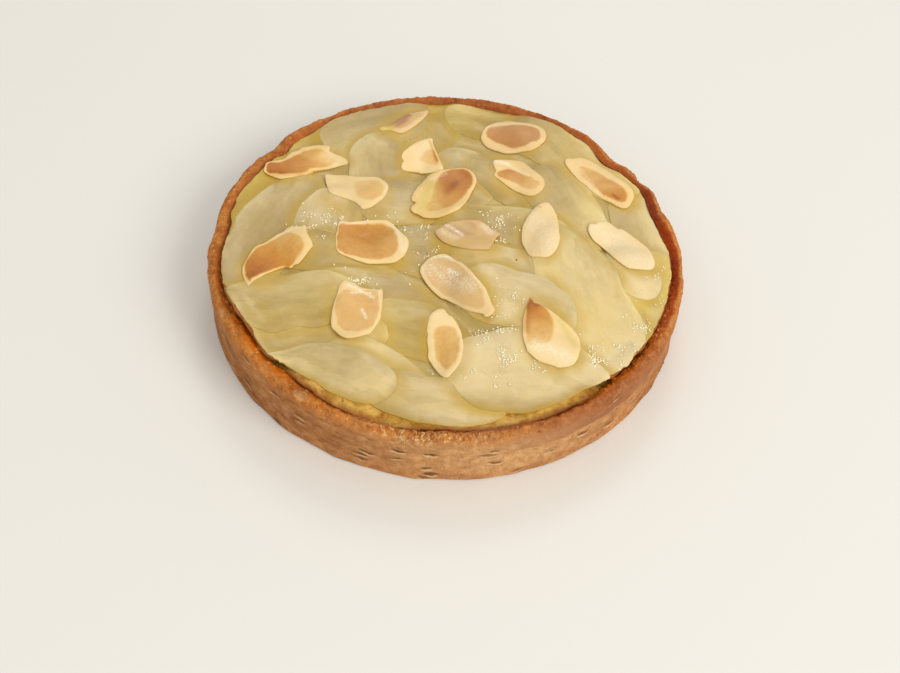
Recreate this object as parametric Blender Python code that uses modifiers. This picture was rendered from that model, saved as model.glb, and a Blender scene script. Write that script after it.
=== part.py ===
"""Pear tart: a shortcrust shell filled with almond cream, tiled with thin poached
pear slices and scattered with toasted almond flakes.

Units are metres and +Z is up. The origin is the centre of the shell's flat underside.
The front of the tart is -Y. Slices and flakes are laid in order, and each one settles
on what already lies beneath it.
"""

import math

import bmesh
import bpy
from mathutils import Vector, noise
from mathutils.bvhtree import BVHTree

MM = 0.001

# Shell
SHELL_RADIUS = 60.0 * MM
SHELL_HEIGHT = 15.7 * MM
WALL_THICKNESS = 3.6 * MM
INNER_RADIUS = SHELL_RADIUS - WALL_THICKNESS
BASE_THICKNESS = 3.2 * MM
FOOT_BEVEL = 0.5 * MM
FOOT_SPREAD = 0.4 * MM
RIM_ZONE = 9.0 * MM
SHELL_STEPS = 120
MERGE_DISTANCE = 0.01 * MM
CRAG_DEPTH = 0.32 * MM
CRAG_SCALES = (190.0, 460.0)
RIM_SWELL = 0.45 * MM
RIM_SWELL_SCALE = 75.0
RIM_CRUMBS = 0.22 * MM
RIM_CRUMB_SCALE = 520.0

# Almond cream
CREAM_EDGE_HEIGHT = 12.9 * MM
CREAM_CROWN = 1.3 * MM
CREAM_RINGS = (0.0, 0.6, 0.88, 0.955, 1.0)
CREAM_LUMPS = 0.35 * MM
CREAM_LUMP_SCALE = 260.0

# Pear slices and almond flakes
SLICE_THICKNESS = 1.25 * MM
SLICE_EDGE_SHARE = 0.62
SLICE_CELLS = (9, 4)
END_ROUNDING = 0.36
END_TAPER = 0.36
SLICE_DROOP = 0.05 * MM
SLICE_ROUNDS = 50
SLICE_MARGIN = 0.5 * MM
SLICE_SOFT_EDGE = 2.6 * MM
FLAKE_THICKNESS = 0.9 * MM
FLAKE_CELLS = (6, 4)
FLAKE_ROUNDING = 0.42
BREAK_RAGGEDNESS = 0.06
BREAK_TEETH = 9.0
STEEPEST_FLAKE = 0.22

# Space kept between pieces that touch, and how finely it is tested
GAP = 0.32 * MM
TEST_REACH = 0.5 * MM
TEST_STEPS = 5

PASTRY_COLOUR = (0.52, 0.25, 0.09, 1.0)
CREAM_COLOUR = (0.60, 0.47, 0.13, 1.0)
PEAR_COLOUR = (0.69, 0.60, 0.29, 1.0)
ALMOND_COLOUR = (0.74, 0.49, 0.24, 1.0)

# Dents in the rim: angle and half width in degrees, push inwards and drop in mm
RIM_DENTS = [
    (41.0, 5.5, 2.2, 0.9),
    (30.5, 3.0, 1.0, 0.4),
    (18.5, 4.0, 0.8, 0.3),
    (148.0, 3.5, 1.0, 0.4),
    (182.0, 4.0, 0.5, 0.2),
    (262.0, 9.0, 0.1, 0.6),
    (305.0, 8.0, 0.1, 0.4),
]
# Where the wall is rolled thicker or thinner: angle and half width in degrees, extra in mm
THICK_SPOTS = [
    (88.0, 30.0, -0.7),
    (12.0, 7.0, 1.0),
    (153.0, 9.0, 1.3),
    (183.0, 9.0, 1.3),
    (217.0, 8.0, 1.0),
    (236.0, 8.0, 1.0),
    (326.0, 12.0, 0.3),
]

# Pear slices, lowest first: the two ends of the middle line, width, and how far that
# line bows to its left, all in mm.
SLICES = [
    (-45.0, 22.0, -24.0, 45.0, 13.0, 3.5),
    (-40.0, 27.0, -50.0, -8.0, 14.0, -3.0),
    (-14.0, 30.0, -4.0, 56.0, 18.0, 0.0),
    (46.0, 31.0, 50.5, -6.0, 13.0, 0.5),
    (48.0, 2.0, 42.0, -36.0, 13.0, 2.5),
    (-47.0, -10.0, -44.0, -33.0, 11.0, -1.5),
    (-33.0, 29.0, -9.0, 52.0, 17.0, 1.0),
    (-3.5, 50.0, 28.0, 43.0, 15.0, 2.0),
    (14.0, 47.0, 46.0, 22.0, 17.0, 3.0),
    (-36.5, 21.0, -47.0, -22.0, 14.0, -2.0),
    (-22.0, 38.5, -19.0, 13.0, 16.5, 0.5),
    (1.5, 38.0, 3.0, 10.0, 19.0, 0.0),
    (6.0, 34.0, 29.0, 13.0, 17.0, 0.0),
    (21.0, 31.5, 38.0, 1.0, 18.0, 0.5),
    (-28.0, 18.0, -33.0, -11.0, 16.0, -0.5),
    (-25.0, 12.0, 4.0, 13.5, 17.0, 0.5),
    (27.0, 9.5, 30.5, -8.0, 7.0, 0.3),
    (-4.0, 3.5, 27.5, 5.0, 19.0, 0.5),
    (-42.0, -6.0, -12.0, -12.0, 15.0, 0.5),
    (-18.0, -2.0, 12.0, -8.0, 17.0, 0.5),
    (1.0, -6.0, 26.0, -12.0, 14.0, 0.5),
    (42.0, 2.0, 46.0, -14.0, 8.0, 1.0),
    (26.5, 6.0, 37.5, -36.0, 20.5, 1.5),
    (2.0, -15.5, 32.0, -25.0, 17.0, 1.0),
    (-32.0, -18.0, 1.0, -21.5, 13.5, 0.5),
    (-22.0, -29.0, 7.0, -32.0, 16.5, 1.0),
    (-43.5, -32.5, -12.0, -33.0, 14.0, 0.5),
    (-49.0, -25.5, -18.0, -24.0, 16.5, 1.5),
    (-26.0, -37.0, -2.0, -47.0, 12.0, 0.5),
    (-16.0, -47.8, 16.0, -49.2, 12.5, -0.3),
    (1.0, -38.8, 37.0, -40.5, 22.0, 0.5),
    (-37.5, -39.5, -9.0, -48.8, 13.0, 0.5),
]

# Almond flakes: centre x and y in mm, heading of the long axis in degrees, length and
# width in mm, how pointed the far end is (0 to 1), and how much of each half is kept
# where the flake is broken (1 is whole), near end then far end, and cupping in mm.
FLAKES = [
    (15.7, 40.5, 30.0, 18.6, 11.4, 0.10, 1.0, 1.0, 0.5),
    (-14.6, 45.8, 52.0, 20.0, 7.8, 0.40, 1.0, 1.0, 0.7),
    (-39.1, 24.6, 14.0, 22.8, 12.8, 0.25, 1.0, 0.86, 0.8),
    (-8.4, 29.6, 98.0, 12.9, 11.3, 0.50, 0.94, 1.0, 0.5),
    (-24.9, 13.6, -14.0, 18.4, 12.8, 0.10, 0.84, 1.0, 0.4),
    (-1.8, 14.6, 58.0, 21.6, 11.8, 0.25, 0.94, 1.0, 0.9),
    (17.6, 23.9, -44.0, 16.8, 10.2, 0.20, 0.88, 1.0, 0.5),
    (39.8, 26.4, -46.0, 22.7, 11.4, 0.15, 0.94, 1.0, 0.5),
    (44.3, 0.7, -36.0, 21.6, 12.6, 0.20, 0.96, 1.0, 0.4),
    (22.9, 1.9, 84.0, 18.2, 8.7, 0.45, 0.90, 1.0, 0.4),
    (-41.0, -11.0, 52.0, 20.6, 11.8, 0.15, 1.0, 0.92, 0.8),
    (-18.7, -4.8, -12.0, 18.8, 14.0, 0.10, 1.0, 1.0, 0.7),
    (4.9, -1.8, -5.0, 15.8, 12.0, 0.35, 1.0, 1.0, 0.9),
    (3.0, -17.8, -44.0, 22.5, 12.3, 0.42, 1.0, 1.0, 0.4),
    (-19.8, -26.7, 95.0, 18.4, 11.6, 0.05, 1.0, 0.82, 0.4),
    (1.4, -34.3, -82.0, 18.6, 8.8, 0.35, 1.0, 1.0, 0.4),
    (25.1, -29.7, 114.0, 21.4, 11.6, 0.60, 0.94, 1.0, 0.6),
]


def bump(angle, centre, half_width):
    """A smooth hump around an angle in degrees, 1 at its centre."""
    away = (angle - centre + 180.0) % 360.0 - 180.0
    return math.exp(-((away / half_width) ** 2))


def rim_dent(angle):
    """How far the rim is pushed inwards and dropped at an angle, in metres."""
    inwards = sum(push * bump(angle, at, wide) for at, wide, push, drop in RIM_DENTS)
    down = sum(drop * bump(angle, at, wide) for at, wide, push, drop in RIM_DENTS)
    return inwards * MM, down * MM


def wall_extra(angle):
    """Extra wall thickness at an angle, in metres."""
    return sum(extra * bump(angle, at, wide) for at, wide, extra in THICK_SPOTS) * MM


def near_rim(height):
    """How much the rim's dents and waves are felt at a height, from 0 to 1."""
    return min(1.0, max(0.0, (height - RIM_ZONE) / (SHELL_HEIGHT - RIM_ZONE)))


def inner_radius(angle, height):
    """Radius of the wall's inner face at an angle in degrees and a height."""
    return INNER_RADIUS - wall_extra(angle) - rim_dent(angle)[0] * near_rim(height)


def material(name, colour, roughness):
    made = bpy.data.materials.new(name)
    made.use_nodes = True
    shader = made.node_tree.nodes["Principled BSDF"]
    shader.inputs["Base Color"].default_value = colour
    shader.inputs["Roughness"].default_value = roughness
    shader.inputs["Metallic"].default_value = 0.0
    return made


def finished(name, bm, surface, collection, smooth_angle=40.0):
    """Turns a bmesh into a named, shaded object in the tart's collection."""
    bmesh.ops.recalc_face_normals(bm, faces=bm.faces)
    mesh = bpy.data.meshes.new(name)
    bm.to_mesh(mesh)
    bm.free()
    mesh.shade_smooth()
    mesh.set_sharp_from_angle(angle=math.radians(smooth_angle))
    mesh.materials.append(surface)
    made = bpy.data.objects.new(name, mesh)
    collection.objects.link(made)
    return made


def turned(name, profile):
    """Turns a profile of (radius, height) pairs round Z, closed at the axis."""
    points = [(radius, 0.0, height) for radius, height in profile]
    line = bpy.data.meshes.new(name)
    line.from_pydata(points, [(i, i + 1) for i in range(len(points) - 1)], [])
    blank = bpy.data.objects.new(name, line)
    bpy.context.scene.collection.objects.link(blank)
    screw = blank.modifiers.new("turn", "SCREW")
    screw.axis = "Z"
    screw.angle = math.tau
    screw.steps = SHELL_STEPS
    screw.render_steps = SHELL_STEPS
    screw.use_merge_vertices = True
    screw.merge_threshold = MERGE_DISTANCE
    bm = bmesh.new()
    bm.from_object(blank, bpy.context.evaluated_depsgraph_get())
    bpy.data.objects.remove(blank)
    bpy.data.meshes.remove(line)
    return bm


def make_shell(collection, surface):
    """The shortcrust shell: flat foot, craggy upright wall, uneven crumbly rim."""
    foot = SHELL_RADIUS + FOOT_SPREAD
    profile = [
        (0.0, BASE_THICKNESS),
        (INNER_RADIUS - 1.0 * MM, BASE_THICKNESS),
        (INNER_RADIUS, BASE_THICKNESS + 1.0 * MM),
        (INNER_RADIUS, RIM_ZONE),
        (INNER_RADIUS, SHELL_HEIGHT - 2.0 * MM),
        (INNER_RADIUS + 0.5 * MM, SHELL_HEIGHT - 0.7 * MM),
        (SHELL_RADIUS - WALL_THICKNESS * 0.52, SHELL_HEIGHT),
        (SHELL_RADIUS - 0.9 * MM, SHELL_HEIGHT - 0.35 * MM),
        (SHELL_RADIUS - 0.1 * MM, SHELL_HEIGHT - 1.5 * MM),
    ]
    profile += [(SHELL_RADIUS, height * MM) for height in (12.2, 9.6, 6.6, 3.6)]
    profile += [(foot, FOOT_BEVEL), (foot - FOOT_BEVEL, 0.0), (0.0, 0.0)]
    bm = turned("shell_blank", profile)
    middle = SHELL_RADIUS - WALL_THICKNESS * 0.5
    coarse, fine = CRAG_SCALES
    for v in bm.verts:
        radius = math.hypot(v.co.x, v.co.y)
        height = v.co.z
        if radius < INNER_RADIUS - 2.0 * MM or height < FOOT_BEVEL * 0.5:
            continue
        angle = math.degrees(math.atan2(v.co.y, v.co.x))
        push, drop = rim_dent(angle)
        share = near_rim(height)
        new_radius = radius - push * share
        new_height = height
        if radius > middle:
            crags = noise.noise(v.co * coarse) + 0.6 * noise.noise(v.co * fine)
            new_radius += CRAG_DEPTH * crags
        else:
            new_radius -= wall_extra(angle)
        if share > 0.3:
            swell = noise.noise(Vector((v.co.x, v.co.y, 0.0)) * RIM_SWELL_SCALE)
            crumbs = noise.noise(v.co * RIM_CRUMB_SCALE)
            new_height += share * (RIM_SWELL * swell + RIM_CRUMBS * crumbs - drop)
        v.co = Vector((v.co.x, v.co.y, 0.0)) * (new_radius / radius)
        v.co.z = new_height
    return finished("crust", bm, surface, collection)


def cream_height(x, y):
    """Top of the almond cream: gently domed, and lumpy at the edge where it shows."""
    share = min(1.0, math.hypot(x, y) / INNER_RADIUS)
    lumps = noise.noise(Vector((x, y, 0.0)) * CREAM_LUMP_SCALE) * share**4
    return CREAM_EDGE_HEIGHT + CREAM_CROWN * (1.0 - share**2) + CREAM_LUMPS * lumps


def make_cream(collection, surface):
    """The almond cream: fills the shell to its floor and shows round the pears."""
    outside = INNER_RADIUS - GAP
    floor = BASE_THICKNESS + GAP
    profile = [(outside * share, CREAM_EDGE_HEIGHT) for share in CREAM_RINGS]
    profile += [(outside, RIM_ZONE), (outside, floor + 1.1 * MM)]
    profile += [(outside - 1.1 * MM, floor), (0.0, floor)]
    bm = turned("cream_blank", profile)
    for v in bm.verts:
        radius = math.hypot(v.co.x, v.co.y)
        if radius > outside * 0.5:
            angle = math.degrees(math.atan2(v.co.y, v.co.x))
            tuck = INNER_RADIUS - inner_radius(angle, v.co.z + 1.0 * MM) + 0.05 * MM
            v.co.x *= (radius - tuck) / radius
            v.co.y *= (radius - tuck) / radius
        if v.co.z > CREAM_EDGE_HEIGHT - 0.1 * MM:
            v.co.z = cream_height(v.co.x, v.co.y)
    return finished("almond_cream", bm, surface, collection)


class Ground:
    """Everything laid so far, as one surface that the next piece settles on."""

    def __init__(self):
        self.points = []
        self.faces = []
        self.tree = None

    def add(self, piece):
        start = len(self.points)
        self.points += [v.co.copy() for v in piece.data.vertices]
        self.faces += [[start + i for i in face.vertices] for face in piece.data.polygons]
        self.tree = BVHTree.FromPolygons(self.points, self.faces)

    def height(self, x, y):
        """The highest surface within reach of a point."""
        best = 0.0
        for right, away in ((0, 0), (1, 0), (-1, 0), (0, 1), (0, -1)):
            start = Vector((x + right * TEST_REACH, y + away * TEST_REACH, 0.1))
            hit = self.tree.ray_cast(start, Vector((0.0, 0.0, -1.0)))[0]
            if hit is not None:
                best = max(best, hit.z)
        return best


def cell_grid(cells):
    """A flat grid from -1 to 1, split into triangles."""
    bm = bmesh.new()
    bmesh.ops.create_grid(bm, x_segments=cells[0], y_segments=cells[1], size=1.0)
    bmesh.ops.triangulate(bm, faces=bm.faces)
    return bm


def kept_in_shell(x, y):
    """Squeezes a point that would reach into the shell's wall back inside it."""
    angle = math.degrees(math.atan2(y, x))
    limit = inner_radius(angle, SHELL_HEIGHT) - SLICE_MARGIN
    radius = math.hypot(x, y)
    over = (radius - (limit - SLICE_SOFT_EDGE)) / SLICE_SOFT_EDGE
    if over <= 0.0:
        return x, y
    squeezed = limit - SLICE_SOFT_EDGE * math.exp(-over)
    return x * squeezed / radius, y * squeezed / radius


def test_points(face):
    """Corner weights spread evenly over a triangle, with the plan point of each."""
    a, b, c = (v.co for v in face.verts)
    for i in range(TEST_STEPS + 1):
        for j in range(TEST_STEPS + 1 - i):
            s, t = i / TEST_STEPS, j / TEST_STEPS
            yield s, t, a + (b - a) * s + (c - a) * t


def settle(bm, ground):
    """Lays a limp sheet on the ground, clear of it by the gap everywhere."""
    tests = []
    for face in bm.faces:
        for s, t, p in test_points(face):
            tests.append((face.verts[:], s, t, ground.height(p.x, p.y) + GAP))
    for v in bm.verts:
        v.co.z = ground.height(v.co.x, v.co.y) + GAP
    for number in range(SLICE_ROUNDS):
        bmesh.ops.smooth_vert(bm, verts=bm.verts, factor=0.5, use_axis_z=True)
        for v in bm.verts:
            v.co.z -= SLICE_DROOP
        for (a, b, c), s, t, needed in tests:
            here = a.co.z + (b.co.z - a.co.z) * s + (c.co.z - a.co.z) * t
            if here < needed:
                for v in (a, b, c):
                    v.co.z += needed - here


def thickened(bm, thickness, edge_share):
    """Gives a sheet its thickness, upwards, thinner along its edge."""
    at_edge = {v.co.xy.to_tuple(): v.is_boundary for v in bm.verts}
    made = bmesh.ops.extrude_face_region(bm, geom=bm.faces[:], use_keep_orig=True)
    for v in made["geom"]:
        if isinstance(v, bmesh.types.BMVert):
            v.co.z += thickness * (edge_share if at_edge[v.co.xy.to_tuple()] else 1.0)


def make_slice(number, row, ground, collection, surface):
    """One thin pear slice, laid over the slices beneath it."""
    x1, y1, x2, y2, width, bow = (value * MM for value in row)
    along = Vector((x2 - x1, y2 - y1))
    length = along.length
    along.normalize()
    left = Vector((-along.y, along.x))
    middle = Vector((x1 + x2, y1 + y2)) / 2.0
    bm = cell_grid(SLICE_CELLS)
    for v in bm.verts:
        u, w = v.co.x, v.co.y
        reach = u * (1.0 - END_ROUNDING * width / length * w * w)
        side = w * (1.0 - END_TAPER * abs(u) ** 3)
        line = middle + along * reach * length / 2.0 + left * bow * (1.0 - reach**2)
        v.co.x, v.co.y = kept_in_shell(*(line + left * side * width / 2.0))
    settle(bm, ground)
    thickened(bm, SLICE_THICKNESS, SLICE_EDGE_SHARE)
    return finished(f"pear_slice_{number:02d}", bm, surface, collection)


def rest_slope(points):
    """Slopes of the plane that fits the ground under a flake best."""
    count = len(points)
    mean = [sum(p[i] for p in points) / count for i in range(4)]
    xx = sum((p[0] - mean[0]) ** 2 for p in points)
    yy = sum((p[1] - mean[1]) ** 2 for p in points)
    xy = sum((p[0] - mean[0]) * (p[1] - mean[1]) for p in points)
    xz = sum((p[0] - mean[0]) * (p[3] - mean[3]) for p in points)
    yz = sum((p[1] - mean[1]) * (p[3] - mean[3]) for p in points)
    spread = xx * yy - xy * xy
    slope_x = (xz * yy - yz * xy) / spread
    slope_y = (yz * xx - xz * xy) / spread
    steep = max(1.0, math.hypot(slope_x, slope_y) / STEEPEST_FLAKE)
    return slope_x / steep, slope_y / steep


def make_flake(number, row, ground, collection, surface):
    """One almond flake, a stiff cupped chip that rests on the pears' high points."""
    x, y = row[0] * MM, row[1] * MM
    heading = math.radians(row[2])
    length, width = row[3] * MM, row[4] * MM
    point, near_kept, far_kept = row[5:8]
    cup = row[8] * MM
    cos, sin = math.cos(heading), math.sin(heading)
    bm = cell_grid(FLAKE_CELLS)
    for v in bm.verts:
        u, w = v.co.x, v.co.y
        reach = u * math.sqrt(1.0 - FLAKE_ROUNDING * w * w)
        side = w * math.sqrt(1.0 - FLAKE_ROUNDING * u * u)
        side *= 1.0 - point * max(0.0, reach) ** 2
        ragged = BREAK_RAGGEDNESS * math.sin(BREAK_TEETH * side + row[2])
        if near_kept < 1.0:
            reach = max(reach, ragged - near_kept)
        if far_kept < 1.0:
            reach = min(reach, ragged + far_kept)
        a, b = reach * length / 2.0, side * width / 2.0
        v.co = Vector((a * cos - b * sin, a * sin + b * cos, cup * (reach**2 + side**2)))
    points = []
    for face in bm.faces:
        for s, t, p in test_points(face):
            points.append((p.x, p.y, p.z, ground.height(x + p.x, y + p.y)))
    slope_x, slope_y = rest_slope(points)
    lift = max(top - z - slope_x * px - slope_y * py for px, py, z, top in points)
    for v in bm.verts:
        v.co.z += lift + GAP + slope_x * v.co.x + slope_y * v.co.y
        v.co.x += x
        v.co.y += y
    thickened(bm, FLAKE_THICKNESS, 1.0)
    return finished(f"almond_flake_{number:02d}", bm, surface, collection)


def main():
    for old in list(bpy.data.objects):
        bpy.data.objects.remove(old)
    tart = bpy.data.collections.new("pear_tart")
    bpy.context.scene.collection.children.link(tart)

    pastry = material("baked_pastry", PASTRY_COLOUR, 0.7)
    cream = material("almond_cream", CREAM_COLOUR, 0.45)
    pear = material("poached_pear", PEAR_COLOUR, 0.25)
    almond = material("toasted_almond", ALMOND_COLOUR, 0.5)

    ground = Ground()
    ground.add(make_shell(tart, pastry))
    ground.add(make_cream(tart, cream))
    for number, row in enumerate(SLICES, start=1):
        ground.add(make_slice(number, row, ground, tart, pear))
    for number, row in enumerate(FLAKES, start=1):
        make_flake(number, row, ground, tart, almond)


main()
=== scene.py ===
"""Pear tart, dressed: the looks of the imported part, in metres, with +Z up."""

import math

import bmesh
import bpy
import numpy as np
from mathutils import Matrix, Vector, geometry, noise
from mathutils.bvhtree import BVHTree


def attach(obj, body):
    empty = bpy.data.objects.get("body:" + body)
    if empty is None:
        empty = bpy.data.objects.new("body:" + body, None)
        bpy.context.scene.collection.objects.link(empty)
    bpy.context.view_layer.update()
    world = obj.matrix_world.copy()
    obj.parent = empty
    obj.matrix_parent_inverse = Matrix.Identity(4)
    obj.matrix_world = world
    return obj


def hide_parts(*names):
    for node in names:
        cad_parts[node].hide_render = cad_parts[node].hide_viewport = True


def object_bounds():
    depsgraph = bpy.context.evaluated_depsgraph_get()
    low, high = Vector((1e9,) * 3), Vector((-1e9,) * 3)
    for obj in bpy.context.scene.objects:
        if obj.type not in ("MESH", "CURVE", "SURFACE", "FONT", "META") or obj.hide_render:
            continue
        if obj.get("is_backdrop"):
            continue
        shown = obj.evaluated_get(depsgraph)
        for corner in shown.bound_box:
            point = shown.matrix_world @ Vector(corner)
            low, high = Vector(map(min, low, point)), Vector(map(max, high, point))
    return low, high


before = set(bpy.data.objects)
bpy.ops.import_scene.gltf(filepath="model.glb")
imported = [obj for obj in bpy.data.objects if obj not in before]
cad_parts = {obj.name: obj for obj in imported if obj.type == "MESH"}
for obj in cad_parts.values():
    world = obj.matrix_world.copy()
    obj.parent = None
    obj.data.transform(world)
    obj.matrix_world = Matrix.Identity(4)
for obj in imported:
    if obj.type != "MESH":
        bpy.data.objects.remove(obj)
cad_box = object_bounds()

MM = 0.001


# The shell: shortcrust pastry pressed into a 12 cm ring and baked until brown. Its wall is
# tan and porous with fine level cracks, its rim is crumbly and browner, and the butter and
# syrup that ran down inside left the inner face dark and shiny.


class Flow:
    """A node's output. Sums written with it add Math nodes to the same tree."""

    def __init__(self, tree, socket):
        self.tree = tree
        self.socket = socket

    def maths(self, operation, *values):
        return self.tree.add("Math", {"operation": operation}, dict(enumerate(values)))

    def __add__(self, other):
        return self.maths("ADD", self, other)

    __radd__ = __add__

    def __sub__(self, other):
        return self.maths("SUBTRACT", self, other)

    def __rsub__(self, other):
        return self.maths("SUBTRACT", other, self)

    def __mul__(self, other):
        return self.maths("MULTIPLY", self, other)

    __rmul__ = __mul__

    def __abs__(self):
        return self.maths("ABSOLUTE", self)

    def step(self, low, high, start=0.0, end=1.0):
        """A smooth step as the value goes from low to high."""
        sockets = {"Value": self, "From Min": low, "From Max": high}
        sockets |= {"To Min": start, "To Max": end}
        return self.tree.add("MapRange", {"interpolation_type": "SMOOTHSTEP"}, sockets)


class Nodes:
    """A node tree under construction."""

    def __init__(self, tree):
        self.tree = tree

    def add(self, kind, settings=None, sockets=None, output=0):
        """Adds a node, sets its settings, then its sockets, and gives one output."""
        named = kind if kind[:4] in ("Geom", "Node", "Func") else "ShaderNode" + kind
        node = self.tree.nodes.new(named)
        for name, value in (settings or {}).items():
            if name == "stops":
                ramp = node.color_ramp
                while len(ramp.elements) < len(value):
                    ramp.elements.new(1.0)
                for element, (at, colour) in zip(ramp.elements, value):
                    element.position = at
                    element.color = srgb(*colour)
            else:
                setattr(node, name, value)
        for name, value in (sockets or {}).items():
            if isinstance(value, Flow):
                self.tree.links.new(value.socket, node.inputs[name])
            else:
                node.inputs[name].default_value = value
        return Flow(self, node.outputs[output])

    def noise(self, vector, scale, detail=2.0, roughness=0.5):
        """Soft noise about 0, mostly between -1 and 1."""
        sockets = {"Vector": vector, "Scale": scale, "Detail": detail}
        return self.add("TexNoise", None, sockets | {"Roughness": roughness}) * 2.0 - 1.0

    def stretched(self, vector, x, y, z):
        """A vector with its parts multiplied."""
        sockets = {0: vector, 1: (x, y, z)}
        return self.add("VectorMath", {"operation": "MULTIPLY"}, sockets)

    def parts(self, vector):
        """The x, y and z of a vector."""
        first = self.add("SeparateXYZ", None, {0: vector})
        return [Flow(self, socket) for socket in first.socket.node.outputs]

    def attribute(self, name):
        """A number kept at each point of the mesh."""
        return self.add("Attribute", {"attribute_name": name}, None, 2)

    def mixed(self, share, first, second):
        """Two colours mixed, each a flow or three 8-bit screen values."""
        first, second = [srgb(*c) if isinstance(c, tuple) else c for c in (first, second)]
        return self.add("Mix", {"data_type": "RGBA"}, {0: share, 6: first, 7: second}, 2)

    def layered(self, colour, *layers):
        """A colour with others laid over it in turn, each by its share."""
        for share, over in layers:
            colour = self.mixed(share, colour, over)
        return colour


def srgb(red, green, blue):
    """A colour given as 8-bit screen values, in Blender's linear ones."""
    parts = [value / 255.0 for value in (red, green, blue)]
    return (*[p / 12.92 if p < 0.04045 else ((p + 0.055) / 1.055) ** 2.4 for p in parts], 1.0)


def surfaced(name, **constants):
    """A new material and its tree, with the shader's plain numbers set."""
    made = bpy.data.materials.new(name)
    made.use_nodes = True
    shader = made.node_tree.nodes["Principled BSDF"]
    for key, value in constants.items():
        shader.inputs[key.replace("_", " ")].default_value = value
    return made, Nodes(made.node_tree)


def feed(material, **flows):
    """Links what varies over the surface to the material's shader."""
    shader = material.node_tree.nodes["Principled BSDF"]
    for key, flow in flows.items():
        material.node_tree.links.new(flow.socket, shader.inputs[key.replace("_", " ")])


# The shell has points at this height only where its wall bends, so they are left out
STRAIGHT_FROM = 9.0 * MM
# A turned node's points nearer to the axis than this are its poles
POLE = 1.0 * MM


def built(name, points, faces):
    """A smooth mesh from points and faces."""
    mesh = bpy.data.meshes.new(name)
    mesh.from_pydata(np.asarray(points).tolist(), [], faces)
    mesh.shade_smooth()
    return mesh


def merged(node):
    """A copy of a node's loose triangles, joined where they meet."""
    bm = bmesh.new()
    bm.from_mesh(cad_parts[node].data)
    bmesh.ops.remove_doubles(bm, verts=bm.verts, dist=0.001 * MM)
    return bm


def turned_columns(node, cuts_round, cuts):
    """The points of a turned node without its poles: the angle of the first column round Z,
    and for each column the radius and height of each point from the inside to the underside,
    smoothly filled in both ways."""
    bm = merged(node)
    lowest = min(v.co.z for v in bm.verts) + 0.01 * MM
    starts = [v for v in bm.verts if v.co.z < lowest and v.co.xy.length > POLE]
    columns = {}
    for start in starts:
        facing = start.co.xy.normalized()
        column, v = [], start
        while v is not None:
            if abs(v.co.z - STRAIGHT_FROM) > 0.05 * MM:
                column.append((v.co.xy.length, v.co.z))
            v.tag = True
            beside = [edge.other_vert(v) for edge in v.link_edges]
            beside = [w for w in beside if not w.tag and w.co.xy.length > POLE]
            above = [w for w in beside if w.co.xy.normalized().dot(facing) > 0.9999]
            v = above[0] if above else None
        columns[math.atan2(facing.y, facing.x) % math.tau] = column[::-1]
    bm.free()
    order = sorted(columns)
    rows = np.array([columns[angle] for angle in order])
    rows = filled_in(rows, [cuts_round] * len(rows), closed=True)
    return order[0], filled_in(rows.transpose(1, 0, 2), cuts).transpose(1, 0, 2)


def filled_in(rows, cuts, closed=False):
    """Rows on a smooth curve through the given ones, with cuts[i] steps in gap i."""
    made = []
    count = len(rows)
    for i in range(count if closed else count - 1):
        before = rows[i - 1] if closed or i else rows[0]
        here, after = rows[i], rows[(i + 1) % count]
        last = rows[(i + 2) % count] if closed or i + 2 < count else rows[-1]
        for step in range(cuts[i]):
            t = step / cuts[i]
            row = 2.0 * here + (after - before) * t
            row = row + (2.0 * before - 5.0 * here + 4.0 * after - last) * t * t
            row = row + (3.0 * here - before - 3.0 * after + last) * t**3
            made.append(0.5 * row)
    if not closed:
        made.append(rows[-1])
    return np.array(made)


def turned_mesh(name, first_angle, columns, poles):
    """A closed mesh from columns of (radius, height), with a pole at each end."""
    count, length = columns.shape[:2]
    angles = first_angle + np.arange(count) * math.tau / count
    x = columns[:, :, 0] * np.cos(angles)[:, None]
    y = columns[:, :, 0] * np.sin(angles)[:, None]
    points = np.dstack([x, y, columns[:, :, 1]]).reshape(-1, 3)
    points = np.vstack([points, [(0.0, 0.0, poles[0]), (0.0, 0.0, poles[1])]])
    faces = []
    for i in range(count):
        here, beside = i * length, (i + 1) % count * length
        for j in range(length - 1):
            faces.append((here + j, here + j + 1, beside + j + 1, beside + j))
        faces.append((count * length, here, beside))
        faces.append((count * length + 1, beside + length - 1, here + length - 1))
    return built(name, points, faces)


def keep(mesh, **named):
    """Keeps numbers at the points of a mesh, each an array or one number for all."""
    for name, values in named.items():
        made = mesh.attributes.new(name, "FLOAT", "POINT")
        values = np.broadcast_to(np.asarray(values, np.float32), len(mesh.vertices))
        made.data.foreach_set("value", values.copy())


def coordinates(mesh):
    """All the points of a mesh as an array."""
    flat = np.empty(len(mesh.vertices) * 3, np.float32)
    mesh.vertices.foreach_get("co", flat)
    return flat.reshape(-1, 3).astype(float)


def linked(name, data):
    """A new object in the scene."""
    made = bpy.data.objects.new(name, data)
    bpy.context.scene.collection.objects.link(made)
    return made


def applied(carrier):
    """The mesh that an object's modifiers make. The object itself goes."""
    evaluated = carrier.evaluated_get(bpy.context.evaluated_depsgraph_get())
    made = bpy.data.meshes.new_from_object(evaluated)
    bpy.data.objects.remove(carrier)
    return made


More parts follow.
